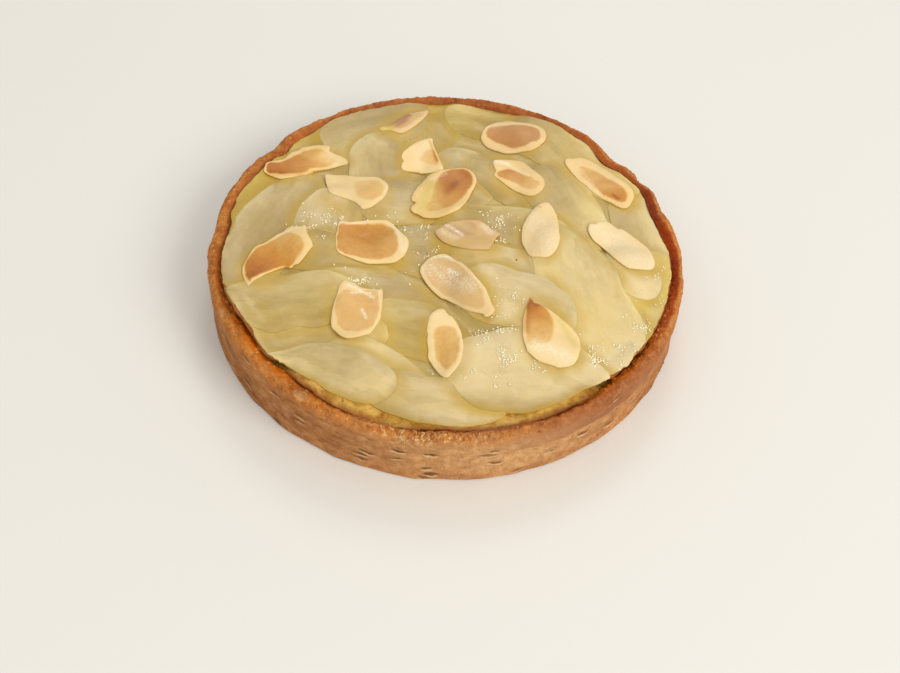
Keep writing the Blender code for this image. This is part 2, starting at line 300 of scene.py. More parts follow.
class Growth(Nodes):
    """A geometry tree with named sizes, which is run once on a mesh."""

    def __init__(self, name):
        super().__init__(bpy.data.node_groups.new(name, "GeometryNodeTree"))
        self.values = {}
        sides = {"in_out": "INPUT", "socket_type": "NodeSocketGeometry"}
        self.tree.interface.new_socket("Geometry", **sides)
        self.tree.interface.new_socket("Geometry", **(sides | {"in_out": "OUTPUT"}))
        self.source = self.tree.nodes.new("NodeGroupInput")
        self.result = self.tree.nodes.new("NodeGroupOutput")

    def mesh_in(self):
        return Flow(self, self.source.outputs[0])

    def size(self, name, value):
        """A named input of the tree, and the value that it's run with."""
        made = self.tree.interface.new_socket(
            name, in_out="INPUT", socket_type="NodeSocketFloat"
        )
        self.values[made.identifier] = value
        return Flow(self, self.source.outputs[name])

    def kept(self, name):
        """A number that the mesh already keeps at each point."""
        return self.add("GeometryNodeInputNamedAttribute", None, {"Name": name})

    def shifted(self, geometry, offset):
        """Geometry with its points moved."""
        return self.add("GeometryNodeSetPosition", None, {0: geometry, "Offset": offset})

    def swollen(self, geometry, height):
        """Geometry with its points moved along their normals."""
        scaled = {0: self.add("GeometryNodeInputNormal"), "Scale": height}
        scaled = self.add("VectorMath", {"operation": "SCALE"}, scaled)
        return self.shifted(geometry, scaled)

    def scattered(self, density, seed, ball, **laid):
        """Balls instanced at random over the mesh, so many to the square metre."""
        sockets = {"Mesh": self.mesh_in(), "Density": density, "Seed": seed}
        spread = self.add("GeometryNodeDistributePointsOnFaces", None, sockets)
        laid |= {"Points": spread, "Instance": ball}
        return self.add("GeometryNodeInstanceOnPoints", None, laid)

    def ball(self, name, radius):
        """A small round ball with a named radius."""
        sockets = {"Radius": self.size(name, radius), "Subdivisions": 2}
        return self.add("GeometryNodeMeshIcoSphere", None, sockets)

    def chance(self, low, high, seed):
        """A number drawn for each instance."""
        sockets = {2: low, 3: high, "Seed": seed}
        return self.add("FunctionNodeRandomValue", {"data_type": "FLOAT"}, sockets, 1)

    def run(self, mesh, geometry, material):
        """Ends the tree with real mesh in one material, and returns that mesh."""
        real = self.add("GeometryNodeRealizeInstances", None, {0: geometry})
        sockets = {"Geometry": real, "Material": material}
        done = self.add("GeometryNodeSetMaterial", None, sockets)
        self.tree.links.new(done.socket, self.result.inputs[0])
        carrier = linked("carrier", mesh)
        modifier = carrier.modifiers.new("grow", "NODES")
        modifier.node_group = self.tree
        for identifier, value in self.values.items():
            modifier[identifier] = value
        return applied(carrier)


def placed(name, mesh, slot, *nodes):
    """Puts a finished mesh in the scene as a piece that stands for CAD nodes."""
    mesh.name = name
    piece = linked(name, mesh)
    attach(piece, "root")
    if nodes:
        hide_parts(*nodes)


def angle_between(degrees, centre):
    """The turn from one direction to others, between -180 and 180 degrees."""
    return (degrees - centre + 180.0) % 360.0 - 180.0


def humps(degrees, *rows):
    """Smooth humps round the tart: the height, middle and half width of each, in degrees."""
    return sum(h * np.exp(-((angle_between(degrees, c) / w) ** 2)) for h, c, w in rows)


# Shell: surface
crust, t = surfaced("baked_shortcrust", Specular_IOR_Level=0.12)
place = t.add("TexCoord", None, None, 3)
names = ("hollow", "inside", "rim", "rosy", "tan", "crumbly", "ragged")
hollow, inside, rim, rosy, tan, crumbly, ragged = map(t.attribute, names)
level = t.stretched(place, 1.0, 1.0, 2.4)
patches = t.noise(place, 85.0, 5.0, 0.62).step(-0.35, 0.35)
streaks = t.noise(level, 230.0, 5.0, 0.68).step(-0.4, 0.4)
grain = t.noise(place, 460.0, 6.0, 0.74).step(-0.4, 0.4)
pale_specks_and_glints = t.noise(place, 1200.0, 2.0, 0.6).step(0.2, 0.36)
granules = t.noise(place, 1000.0, 3.0, 0.7).step(0.0, 0.25) * crumbly


def level_cracks(lift):
    """Short level cracks, one in some of the cells of a flattened pattern."""
    up = t.add("CombineXYZ", None, {2: t.noise(place, 230.0, 3.0, 0.55) * MM + lift})
    wavy = t.add("VectorMath", {"operation": "ADD"}, {0: place, 1: up})
    cells = {"Vector": t.stretched(wavy, 1.0, 1.0, 3.6), "Scale": 140.0}
    drawn = t.parts(t.add("TexVoronoi", None, cells, 1))[0]
    near = t.add("TexVoronoi", None, cells) + t.noise(place, 700.0, 3.0) * 0.14
    return near.step(0.12, 0.34, 1.0, 0.0) * drawn.step(0.4, 0.9)


cracked = level_cracks(0.0) * (1.0 - rim * 0.6)
# A pale line beside each crack: a painted highlight on the crack's lip
crack_lip_highlight = level_cracks(0.6 * MM) * (1.0 - rim * 0.6) * (1.0 - cracked)
edge = t.layered(
    t.mixed(patches, (152, 70, 16), (203, 116, 42)),
    (grain * 0.75, (250, 170, 86)),
    # Bright specks on the rim: partly pale crumbs, partly painted glints
    (pale_specks_and_glints * 0.75, (248, 190, 116)),
    (granules, (255, 220, 158)),
)
syrup = t.mixed(patches, (120, 34, 0), (160, 60, 0))
dry = 1.0 - inside
wall = t.layered(
    t.mixed(patches, (146, 79, 32), (206, 135, 77)),
    (tan * 0.75, (244, 198, 138)),
    (streaks * 0.5, (250, 194, 130)),
    (grain * 0.55, (162, 92, 42)),
    (rim, edge),
    # Rosy brown high on the wall: the pastry's tone at the front right, and painted shade on
    # the back rim
    (rosy * 0.7, t.mixed(grain, (146, 80, 50), (176, 113, 78))),
    (inside, syrup),
    # The syrup painted lighter where the inner face lies in shade: painted light
    (inside * t.attribute("light_syrup"), (232, 122, 6)),
    (ragged * streaks * 0.5, (126, 58, 4)),
    # Bright specks on the torn syrup edge: partly pale crumbs, partly painted glints
    (ragged * pale_specks_and_glints, (250, 196, 120)),
    # Seams and pits painted darker: painted shade in the hollows
    (hollow * dry * 0.6, (112, 60, 26)),
    # Painted highlight on the lip of each crack
    (crack_lip_highlight * dry * 0.6, (255, 218, 160)),
    # The cracks painted dark: painted shade inside them
    (cracked * dry * 0.75, (106, 58, 24)),
)
bumps = t.noise(place, 420.0, 7.0, 0.72) - cracked * 0.8 + pale_specks_and_glints * rim * 0.3
bumps = bumps * (0.25 + dry * 0.75)
bump = t.add("Bump", None, {"Strength": 1.0, "Distance": 0.0007, "Height": bumps})
roughness = 0.75 - inside * 0.35 - pale_specks_and_glints * rim * 0.4
feed(crust, Base_Color=wall, Roughness=roughness, Normal=bump)

# Shell: form
BASE_TOP = 3.2 * MM
FRUIT_HEIGHT = 13.9 * MM
BAND_MIDDLE = -89.0
BAND_HALF_WIDTH = 39.0
BAND_FADE = 10.0
SHELL_CUTS = [1, 8, 5, 5, 4, 5, 6, 7, 8, 8, 8, 1]
# How far the shell's colours reach: inwards from the crest, down from it, up from the foot,
# and from the fruit up the wall
INNER_FADE = 0.8 * MM
RIM_DEPTH = 4.0 * MM
ROSY_AND_SHADE_FROM = 9.0 * MM
TAN_FADE = 3.5 * MM
SYRUP_REACH = 0.8 * MM
first_angle, shell = turned_columns("crust", 8, SHELL_CUTS)
mesh = turned_mesh("crust_base", first_angle, shell, (BASE_TOP, 0.0))
co = coordinates(mesh)
heights = co[:, 2]


def polar(co):
    """How far out points are, and in which direction, in degrees."""
    return np.hypot(co[..., 0], co[..., 1]), np.degrees(np.arctan2(co[..., 1], co[..., 0]))


def column_of(co):
    """The number of the shell's column nearest to each point."""
    turn = (np.arctan2(co[:, 1], co[:, 0]) - first_angle) / math.tau
    return np.round(turn * len(shell)).astype(int) % len(shell)


def smooth(value):
    """An even step from 0 to 1."""
    value = np.clip(value, 0.0, 1.0)
    return value * value * (3.0 - 2.0 * value)


def cream_band(degrees):
    """1 at the front, where the fruit stops short of the wall, and 0 elsewhere."""
    away = np.abs(angle_between(degrees, BAND_MIDDLE))
    return smooth((BAND_HALF_WIDTH - away) / BAND_FADE + 0.5)


def climb(degrees):
    """How far the filling's edge climbs the wall."""
    sides = humps(degrees, (0.5, 175, 40), (1.1, -142, 24), (1.0, -38, 26))
    return np.maximum(sides, 1.3 * cream_band(degrees)) * MM


def sink(degrees):
    """How far the filling's edge sinks at the back."""
    return humps(degrees, (1.3 * MM, 92, 50))


radii, degrees = polar(co)
crest = shell[np.arange(len(shell)), shell[:, :, 1].argmax(1)][column_of(co)]
inner_side = np.arange(shell.shape[1]) < shell[:, :, 1].argmax(1)[:, None]
columns_at = np.degrees(first_angle + np.arange(len(shell)) * math.tau / len(shell))
edge_height = FRUIT_HEIGHT + climb(columns_at) - sink(columns_at)
from_edge = np.where(inner_side, np.abs(shell[:, :, 1] - edge_height[:, None]), 1.0)
wall_radius = shell[np.arange(len(shell)), from_edge.argmin(1), 0]
past_crest = (0.1 + humps(degrees, (0.7, -2, 42))) * MM
inwards = np.clip((crest[:, 0] + past_crest - radii) / INNER_FADE, 0.0, 1.0)
below_crest = crest[:, 1] - heights
over_fruit = heights - edge_height[column_of(co)]
glazed = np.clip(0.4 + humps(degrees, (0.65, -2, 42), (0.45, -142, 30)), 0.0, 1.0)
ragged = 0.3 + humps(degrees, (0.7, -28, 36), (0.7, -140, 26))
crumbs = humps(degrees, (0.5, -12, 30)) * (inwards > 0.1) * (over_fruit > -0.2 * MM)
on_top = below_crest < 0.7 * MM
crumbs += humps(degrees, (1.4, -91, 15)) * (inwards < 0.6) * on_top
on_top = below_crest < 0.56 * MM
crumbs += humps(degrees, (0.15, -140, 40)) * (inwards < 0.8) * on_top
at_foot = (heights < 2.4 * MM) * (heights > 1.0 * MM)
crumbs += humps(degrees, (0.5, -38, 16)) * at_foot
keep(
    mesh,
    inside=inwards**1.5 * glazed,
    rim=np.clip(1.0 - below_crest / RIM_DEPTH, 0.0, 1.0) ** 1.3,
    # Rosy tone at the front right; at the back it is painted shade
    rosy=humps(degrees, (1.0, -48, 22), (0.55, 95, 60)) * (heights > ROSY_AND_SHADE_FROM),
    # Where the inner face lies in shade, its syrup is painted lighter: painted light
    light_syrup=humps(degrees, (1.0, -46, 18), (1.0, -138, 28)),
    tan=humps(degrees, (1.0, -73, 27)) * np.clip(heights / TAN_FADE, 0.0, 1.0),
    crumbly=humps(degrees, (1.0, -91, 13)),
    ragged=ragged * smooth(inwards * 3.0) * np.exp(-((over_fruit / SYRUP_REACH) ** 2)),
    crumbs=crumbs,
)

n = Growth("crust_relief")
place = n.add("GeometryNodeInputPosition")
z = n.parts(place)[2]
rim = n.kept("rim")
foot = z.step(0.1 * MM, 1.2 * MM)
level = n.stretched(place, 1.0, 1.0, 3.4)
seam = abs(n.noise(level, 150.0, 4.0, 0.6)).step(0.0, 0.035, 1.0, 0.0)
seam = seam * n.noise(place, 130.0).step(0.15, 0.4)
cells = {"Vector": n.stretched(place, 1.0, 1.0, 1.8), "Scale": 380.0}
near = n.add("TexVoronoi", None, cells)
drawn = n.parts(n.add("TexVoronoi", None, cells, 1))[0]
pits = near.step(0.08, 0.3, 1.0, 0.0) * drawn.step(0.84, 0.88)
lumps = n.noise(place, 260.0, 4.0, 0.65)
sand = n.noise(place, 1150.0, 2.0, 0.6)
hollow = seam.maths("MAXIMUM", seam, pits)
rise = n.size("Lump Height", 0.34 * MM) * lumps * (1.0 + rim * 0.8)
rise = rise + n.size("Sand Height", 0.12 * MM) * sand * (1.0 + rim * 1.6)
rise = rise + n.size("Crumb Height", 0.6 * MM) * sand * rim * n.kept("crumbly")
torn = n.noise(place, 480.0, 3.0, 0.6).step(-0.3, 0.6)
rise = rise - n.size("Hollow Depth", 0.35 * MM) * hollow
rise = rise * (1.0 - n.kept("inside") * 0.7) - n.size("Set Back", 0.12 * MM)
rise = rise + n.size("Torn Edge", 0.9 * MM) * torn * n.kept("ragged")
moved = n.swollen(n.mesh_in(), rise * foot)
stored = {"Geometry": moved, "Name": "hollow", "Value": hollow}
stored = n.add("GeometryNodeStoreNamedAttribute", None, stored)
mesh = n.run(mesh, stored, crust)
placed("shortcrust_shell", mesh, "pastry", "crust")

# Shell: loose crumbs
n = Growth("crumbs_on_the_shell")
density = n.size("Crumbs Per Square Metre", 1.3e6) * n.kept("crumbs")
ball = n.ball("Crumb Radius", 0.21 * MM)
bulges = n.noise(n.add("GeometryNodeInputPosition"), 4500.0, 2.0)
ball = n.swollen(ball, bulges * 0.14 * MM)
turns = {0: (0.0, 0.0, 0.0), 1: (6.0, 6.0, 6.0), "Seed": 5}
turned = n.add("FunctionNodeRandomValue", {"data_type": "FLOAT_VECTOR"}, turns)
sizes = n.chance(0.5, 1.8, 2)
spread = n.scattered(density, 4, ball, Scale=sizes, Rotation=turned)
placed("shell_crumbs", n.run(mesh, spread, crust), "pastry")


# The almond cream: ground almonds, butter, egg and sugar, spread in the raw shell before the
# pears are laid and baked with them. The fruit sinks into it, so both share one soft top,
# and a moist lumpy band of it shows at the front.


def softened(node, levels):
    """A fine, rounded copy of a faceted node."""
    bm = merged(node)
    coarse = bpy.data.meshes.new(node + "_coarse")
    bm.to_mesh(coarse)
    bm.free()
    carrier = linked("carrier", coarse)
    rounding = carrier.modifiers.new("round", "SUBSURF")
    rounding.levels = levels
    rounding.render_levels = levels
    return applied(carrier)


def cream_shows(co):
    """How far the cream shows at points, from 0 to 1."""
    return cream_band(polar(co)[1])


def noise_at(co, scale, seed):
    """Even noise at each point, between about -1 and 1."""
    shift = Vector((seed * 3.7, seed * 1.3, 0.0))
    return np.array([noise.noise(Vector((p[0], p[1], 0.0)) * scale + shift) for p in co])


def to_wall(co):
    """Draws points near the wall out to it, as cooked fruit slumps against the pastry."""
    radius, degrees = polar(co)
    radius = np.maximum(radius, MM)
    held = cream_band(degrees) * (1.0 - humps(degrees, (0.6, -87, 9)))
    share = smooth((radius - SLUMP_FROM) / SLUMP_WIDTH) * (1.0 - held)
    fringe = humps(degrees, (0.6, -142, 22), (0.3, -15, 40))
    ragged = np.minimum(0.1 + 0.5 * noise_at(co, 330.0, 9), 0.1) - fringe
    reach = np.maximum(wall_radius[column_of(co)] + ragged * MM - radius, 0.0)
    moved = co.copy()
    moved[:, :2] *= (1.0 + share * reach / radius)[:, None]
    return moved


def blurred(heights, known, width):
    """Heights on the plan grid, averaged with their neighbours where known."""
    reach = int(3.0 * width / STEP) + 1
    steps = range(-reach, reach + 1)
    weights = [math.exp(-0.5 * (s * STEP / width) ** 2) for s in steps]
    spread = []
    for values in (heights * known, known.astype(float)):
        for axis in (0, 1):
            values = sum(w * np.roll(values, s, axis) for s, w in zip(steps, weights))
        spread.append(values)
    return spread[0] / np.maximum(spread[1], 1e-12)


def sampled(field, co):
    """A field of the plan grid read at points."""
    place = (co[:, :2] + SPAN) / STEP
    low = np.clip(np.floor(place).astype(int), 0, len(field) - 2)
    i, j = low[:, 1], low[:, 0]
    s, t = (place - low).T
    near = field[i, j] * (1.0 - s) + field[i, j + 1] * s
    far = field[i + 1, j] * (1.0 - s) + field[i + 1, j + 1] * s
    return near * (1.0 - t) + far * t


SLICE_COUNT = 32
FLAKE_COUNT = 17
STEP = 0.5 * MM
SPAN = 60.0 * MM
FRUIT_REACH = 57.5 * MM
# Where the fruit starts to slump out to the wall and to sink, and how close it climbs
SLUMP_FROM, SLUMP_WIDTH = 45.0 * MM, 8.0 * MM
SINK_FROM, SINK_WIDTH = 47.0 * MM, 7.0 * MM
CLIMB_WIDTH = 5.0 * MM
# How wide the laid pieces' heights are averaged, and the share of the sharper mean
CRISP, MELTED, FAR = 0.8 * MM, 2.4 * MM, 5.0 * MM
CRISP_SHARE = 0.12

points, faces = [], []
for node in ["almond_cream"] + [f"pear_slice_{i + 1:02d}" for i in range(SLICE_COUNT)]:
    mesh = softened(node, 0 if node == "almond_cream" else 2)
    start = len(points)
    points += to_wall(coordinates(mesh)).tolist()
    faces += [[start + i for i in face.vertices] for face in mesh.polygons]
laid = BVHTree.FromPolygons(points, faces)
axis = np.arange(-SPAN, SPAN + STEP / 2.0, STEP)
grid = np.dstack(np.meshgrid(axis, axis))
radii, degrees = polar(grid)
laid_top = np.zeros(radii.shape)
for i, j in np.argwhere(radii < FRUIT_REACH):
    hit = laid.ray_cast(Vector((*grid[i, j], 0.1)), Vector((0.0, 0.0, -1.0)))[0]
    laid_top[i, j] = hit.z if hit else 0.0
known = laid_top > 0.0
crisp, melted = blurred(laid_top, known, CRISP), blurred(laid_top, known, MELTED)
far = blurred(laid_top, known, FAR)
reached = blurred(known.astype(float), np.ones_like(known), 1.0 * MM) > 0.02
top = np.where(reached, CRISP_SHARE * crisp + (1.0 - CRISP_SHARE) * melted, far)
top -= sink(degrees) * smooth((radii - SINK_FROM) / SINK_WIDTH)
to_pastry = wall_radius[column_of(grid.reshape(-1, 2))].reshape(radii.shape) - radii
top += climb(degrees) * smooth(1.0 - to_pastry / CLIMB_WIDTH)

cream, t = surfaced(
    "almond_cream_top", Specular_IOR_Level=0.2, Coat_Weight=0.2, Coat_Roughness=0.25
)
place = t.add("TexCoord", None, None, 3)
blotches = t.noise(place, 300.0, 5.0, 0.68).step(-0.28, 0.28)
flecks = t.noise(place, 620.0, 4.0, 0.7).step(0.1, 0.35)
tone = t.layered(
    t.mixed(blotches, (172, 120, 26), (214, 170, 80)),
    (flecks * 0.75, (156, 84, 4)),
    (t.attribute("wall_side") * 0.85, (130, 58, 0)),
)
bumps = t.noise(place, 1100.0, 4.0, 0.7)
bump = t.add("Bump", None, {"Strength": 0.6, "Distance": 0.0003, "Height": bumps})
feed(cream, Base_Color=tone, Roughness=0.5 - flecks * 0.1, Normal=bump)

# The top of the cream is raised from BARE_FROM outwards and pressed on to the wall beyond
# PRESSED_FROM. Below its shoulder it stays as it is.
SHOULDER, SHOULDER_FADE = 11.6 * MM, 0.8 * MM
BARE_FROM, BARE_FADE = 48.0 * MM, 2.0 * MM
PRESSED_FROM, PRESSED_FADE = 54.0 * MM, 1.0 * MM
CROWN, UNDERSIDE = 14.2 * MM, 3.52 * MM
first, filling = turned_columns("almond_cream", 6, [2, 8, 10, 10, 1])
mesh = turned_mesh("cream_base", first, filling, (CROWN, UNDERSIDE))
co = coordinates(mesh)
radii = polar(co)[0]
upper = smooth((co[:, 2] - SHOULDER) / SHOULDER_FADE)
outer = smooth((radii - BARE_FROM) / BARE_FADE) * upper
gap = np.maximum(wall_radius[column_of(co)] + 0.05 * MM - radii, 0.0)
pressed = outer * smooth((radii - PRESSED_FROM) / PRESSED_FADE) * gap
co[:, :2] *= (1.0 + pressed / np.maximum(radii, MM))[:, None]
bare = smooth((radii - wall_radius[column_of(co)]) / (1.5 * MM) + 2.2)
raised = np.maximum(sampled(top, co) + (0.3 * bare - 0.4) * MM - co[:, 2], 0.0)
co[:, 2] += outer * cream_shows(co) * raised
to_pastry = wall_radius[column_of(co)] - polar(co)[0] + 0.25 * MM * noise_at(co, 300.0, 5)
keep(mesh, wall_side=smooth(1.25 - to_pastry / (0.9 * MM)))
mesh.vertices.foreach_set("co", co.astype(np.float32).ravel())
mesh.update()
n = Growth("cream_lumps")
place = n.add("GeometryNodeInputPosition")
upper = n.parts(place)[2].step(11.0 * MM, 12.4 * MM)
rise = n.size("Lump Height", 0.3 * MM) * n.noise(place, 520.0, 3.0, 0.6)
lift = n.add("CombineXYZ", None, {"Z": rise * upper})
mesh = n.run(mesh, n.shifted(n.mesh_in(), lift), cream)
placed("almond_cream_fill", mesh, "cream", "almond_cream")


# The pear slices: poached pears cut thin and laid over each other like tiles, from the back
# towards the front, then brushed with clear jelly. They are limp, pale and translucent.


def outline_of(node, cuts):
    """The outline of a sheet-like node seen from above, smoothed, anticlockwise."""
    bm = merged(node)
    bm.normal_update()
    beside = {}
    for edge in bm.edges:
        side, face = sorted(edge.link_faces, key=lambda f: abs(f.normal.z))
        if abs(side.normal.z) < 0.02 and face.normal.z > 0.02:
            for v in edge.verts:
                beside.setdefault(v, []).append(edge.other_vert(v))
    loop = [next(iter(beside))]
    while len(loop) < len(beside):
        ahead = [v for v in beside[loop[-1]] if v not in loop[-2:] and v not in loop[:1]]
        loop.append(ahead[0])
    rows = np.array([v.co[:] for v in loop])
    bm.free()
    beyond = np.roll(rows, -1, 0)
    turning = (rows[:, 0] * beyond[:, 1] - rows[:, 1] * beyond[:, 0]).sum()
    rows = rows if turning > 0.0 else rows[::-1]
    return filled_in(rows, [cuts] * len(rows), closed=True)


def outwards(outline):
    """The plan direction that points out of an outline at each of its points."""
    along = (np.roll(outline, -1, 0) - np.roll(outline, 1, 0))[:, :2]
    along /= np.maximum(np.hypot(along[:, 0], along[:, 1]), 1e-9)[:, None]
    return np.column_stack([along[:, 1], -along[:, 0]])


def depth_inside(co, outline):
    """How far inside an outline each point lies in plan, or outside it, below 0."""
    start, end = outline[:, :2], np.roll(outline, -1, 0)[:, :2]
    span = end - start
    away = co[:, None, :2] - start[None]
    share = (away * span).sum(2) / np.maximum((span * span).sum(1), 1e-18)
    away -= np.clip(share, 0.0, 1.0)[:, :, None] * span
    distance = np.sqrt((away * away).sum(2).min(1))
    y = co[:, None, 1]
    crosses = (start[:, 1] > y) != (end[:, 1] > y)
    slope = span[:, 0] / np.where(np.abs(span[:, 1]) < 1e-12, 1e-12, span[:, 1])
    crosses &= co[:, None, 0] < start[:, 0] + (y - start[:, 1]) * slope
    return np.where(crosses.sum(1) % 2 == 1, distance, -distance)


def touching(first, second, reach):
    """Whether the plan boxes of two sets of points come within reach."""
    first, second = first[:, :2], second[:, :2]
    gap = np.maximum(first.min(0) - second.max(0), second.min(0) - first.max(0))
    return gap.max() < reach


# How far the close rows lie inside a sheet's edge, in mm, and the height of an even triangle
EDGE_ROWS = (0.12, 0.3, 0.55, 0.85, 1.2)
EVEN = 0.866


def sheet(outline, spacing):
    """Points and triangles that fill an outline, with rows set close along its edge."""
    out = outwards(outline)
    rows = [outline[:, :2]]
    for inset in EDGE_ROWS:
        row = outline[:, :2] - out * inset * MM
        rows.append(row[depth_inside(row, outline) > 0.85 * inset * MM])
    low, high = outline[:, :2].min(0), outline[:, :2].max(0)
    across = np.arange(low[0], high[0], spacing)
    up = np.arange(low[1], high[1], spacing * EVEN)
    x, y = np.meshgrid(across, up)
    x = x + (np.arange(len(up)) % 2)[:, None] * spacing / 2.0
    inner = np.column_stack([x.ravel(), y.ravel()])
    inner_edge = EDGE_ROWS[-1] * MM + 0.6 * spacing
    rows.append(inner[depth_inside(inner, outline) > inner_edge])
    count = len(outline)
    rim = [(i, (i + 1) % count) for i in range(count)]
    plan = [Vector(p) for p in np.vstack(rows)]
    filled = geometry.delaunay_2d_cdt(plan, rim, [], 1, 1e-7)
    return np.array([p[:] for p in filled[0]]), filled[2]


def rim_of(triangles):
    """The points round the free edge of some triangles, each with the one after it."""
    sides = [(face[k], face[k - 2]) for face in triangles for k in range(3)]
    paired = set(sides)
    return {a: b for a, b in sides if (b, a) not in paired}


def sheet_mesh(upper, lower, triangles, bulge, material, **named):
    """A closed sheet from its upper and lower points, with a rounded rim, which keeps the
    numbers named for its upper points."""
    after = rim_of(triangles)
    number = {a: 2 * len(upper) + k for k, a in enumerate(after)}
    rim = list(after)
    waist = (upper[rim] + lower[rim]) / 2.0
    step = (upper[[after[a] for a in rim]] - upper[rim])[:, :2]
    step /= np.maximum(np.hypot(step[:, 0], step[:, 1]), 1e-9)[:, None]
    waist[:, :2] += np.column_stack([step[:, 1], -step[:, 0]]) * bulge
    count = len(upper)
    faces = [tuple(face) for face in triangles]
    faces += [tuple(count + i for i in face[::-1]) for face in triangles]
    for a, b in after.items():
        faces += [(a, number[a], number[b], b), (number[a], count + a, count + b, number[b])]
    mesh = built("sheet", np.vstack([upper, lower, waist]), faces)
    mesh.materials.append(material)
    for edge in mesh.edges:
        first, second = edge.vertices
        edge.use_edge_sharp = after.get(first) == second or after.get(second) == first
    for key, values in named.items():
        values = np.broadcast_to(values, count)
        keep(mesh, **{key: np.concatenate([values, values, values[rim]])})
    return mesh


def main_axes(co):
    """The middle of a piece in plan, and two columns: its long direction, which points to
    the right or back, and the one across it."""
    middle = co[:, :2].mean(0)
    long = np.linalg.eigh(np.cov((co[:, :2] - middle).T))[1][:, 1]
    long = long * (1.0 if long @ (1.0, 0.7) >= 0 else -1.0)
    return middle, np.column_stack([long, (-long[1], long[0])])


# Jelly with fine bubbles: x, y and reach in mm
JELLY_SPOTS = [
    (-34.0, 3.0, 4.0), (-25.0, 3.5, 4.5), (-17.0, 3.0, 3.0), (-8.0, 2.0, 3.0),
    (-3.0, -8.0, 4.0), (14.0, 4.0, 2.5), (12.0, 8.0, 2.5), (30.0, -37.0, 5.5),
    (24.0, -40.5, 5.5), (16.0, -38.0, 5.0), (12.0, -29.0, 4.0), (36.0, -35.0, 4.0),
    (14.0, -34.0, 3.5), (5.0, -40.0, 3.0), (42.0, -33.0, 3.5), (51.5, -8.0, 2.5),
    (50.5, -16.0, 2.5), (47.5, -24.0, 2.5), (-20.0, -15.5, 3.0), (16.0, -20.0, 3.0),
]


def jelly_at(co):
    """How thick the jelly stands at points, from 0 to 1."""
    thickest = np.zeros(len(co))
    for x, y, reach in JELLY_SPOTS:
        away = np.hypot(co[:, 0] - x * MM, co[:, 1] - y * MM)
        thickest = np.maximum(thickest, np.exp(-((away / (reach * MM)) ** 2)))
    return thickest


# For each slice: how deep and how yellow its flesh is, and how much deeper it gets along and
# across it
SLICE_LOOKS = [
    (1.20, 1.30, 0.50, -0.50),
    (1.20, 1.30, -0.50, -0.50),
    (1.17, 0.96, -0.50, 0.28),
    (0.59, 0.17, -0.27, 0.46),
    (0.01, 0.79, -0.50, -0.50),
    (1.20, 1.30, 0.50, -0.50),
    (0.80, 0.11, 0.50, 0.13),
    (0.94, 0.67, 0.50, -0.33),
    (0.56, 0.42, -0.50, -0.11),
    (0.92, -0.02, -0.27, -0.50),
    (0.77, 0.05, -0.31, -0.50),
    (0.91, 0.11, -0.41, 0.46),
    (1.20, 0.26, 0.48, 0.14),
    (0.66, 0.25, 0.37, 0.35),
    (0.70, -0.30, -0.47, -0.24),
    (0.64, -0.30, -0.22, 0.17),
    (0.20, 0.50, 0.00, 0.00),
    (1.04, 0.48, -0.50, -0.50),
    (1.20, 0.37, 0.50, 0.08),
    (0.68, -0.30, 0.02, -0.06),
    (0.54, -0.13, 0.31, -0.38),
    (-0.20, -0.30, -0.50, -0.50),
    (0.22, 0.30, 0.20, -0.15),
    (0.32, -0.10, 0.17, 0.14),
    (0.91, 0.17, 0.38, -0.38),
    (0.73, 0.48, 0.50, -0.07),
    (0.52, 0.31, -0.22, -0.36),
    (0.58, 0.36, -0.15, -0.31),
    (-0.17, 0.22, 0.50, 0.50),
    (0.41, -0.01, -0.36, 0.10),
    (0.11, -0.10, 0.02, -0.29),
    (0.43, 0.20, -0.06, 0.23),
]
# How high a slice's edge stands over the slice below in mm, for the few where it shows
LIPS = {27: 0.16, 28: 0.2, 30: 0.14, 31: 0.1, 32: 0.22}
LOW_LIP = 0.06
SLICE_THICKNESS = 1.1 * MM
SLICE_SPACING = 0.6 * MM
# How wide the edge is that rises and thins, and how its covered part dips out of sight
THINNING = 2.0 * MM
TUCK_START, TUCK_DEPTH, TUCK_WIDTH = 0.04 * MM, 0.5 * MM, 1.2 * MM
# Pieces nearer than this can shade each other. The other two stand for well clear of a piece
# and well inside it.
NEARBY, FAR_OUT, FAR_IN = 3.0 * MM, 9.0 * MM, 5.0 * MM

pear, t = surfaced(
    "poached_pear",
    Subsurface_Weight=0.8,
    Subsurface_Radius=(1.0, 0.8, 0.4),
    Subsurface_Scale=0.0008,
    Specular_IOR_Level=0.3,
    Coat_Weight=0.6,
    Coat_Roughness=0.28,
    Coat_IOR=1.4,
)
place = t.add("TexCoord", None, None, 3)
names = ("along", "across", "edge", "cover", "deep", "yellow", "jelly")
along, across, free_edge, cover, deep, yellow, jelly = map(t.attribute, names)
fibre = t.add("CombineXYZ", None, {0: along * 70.0, 1: across * 380.0})
fibres = t.noise(fibre, 1.0, 4.0, 0.65)
clouds = t.noise(place, 115.0, 6.0, 0.64)
grain = t.noise(place, 1500.0, 3.0, 0.7)
lost = t.noise(place, 85.0, 2.0, 0.5).step(-0.25, 0.35)
tint = yellow + t.noise(place, 75.0, 3.0, 0.6) * 0.5
flesh = t.mixed(tint.step(-0.2, 1.2), (231, 210, 158), (225, 197, 97))
deeper = t.mixed(tint.step(-0.2, 1.2), (173, 148, 90), (175, 145, 51))
bent = t.noise(place, 160.0, 2.0) * 0.5
flat = t.add("CombineXYZ", None, {0: along * 90.0 + bent, 1: across * 260.0 + bent * 1.5})
layers = t.add("TexVoronoi", None, {"Vector": flat, "Scale": 1.0, "Randomness": 0.9}, 1)
layers = t.parts(layers)[0] - 0.5
depth = deep + clouds * 0.36 + fibres * 0.26 + grain * 0.05 + layers * 0.18
depth = depth - free_edge.step(0.0, 0.0026, 0.2, 0.0) * lost
shade = cover.step(0.0, 0.0042, 0.8, 0.0) * (1.0 - lost * 0.6)
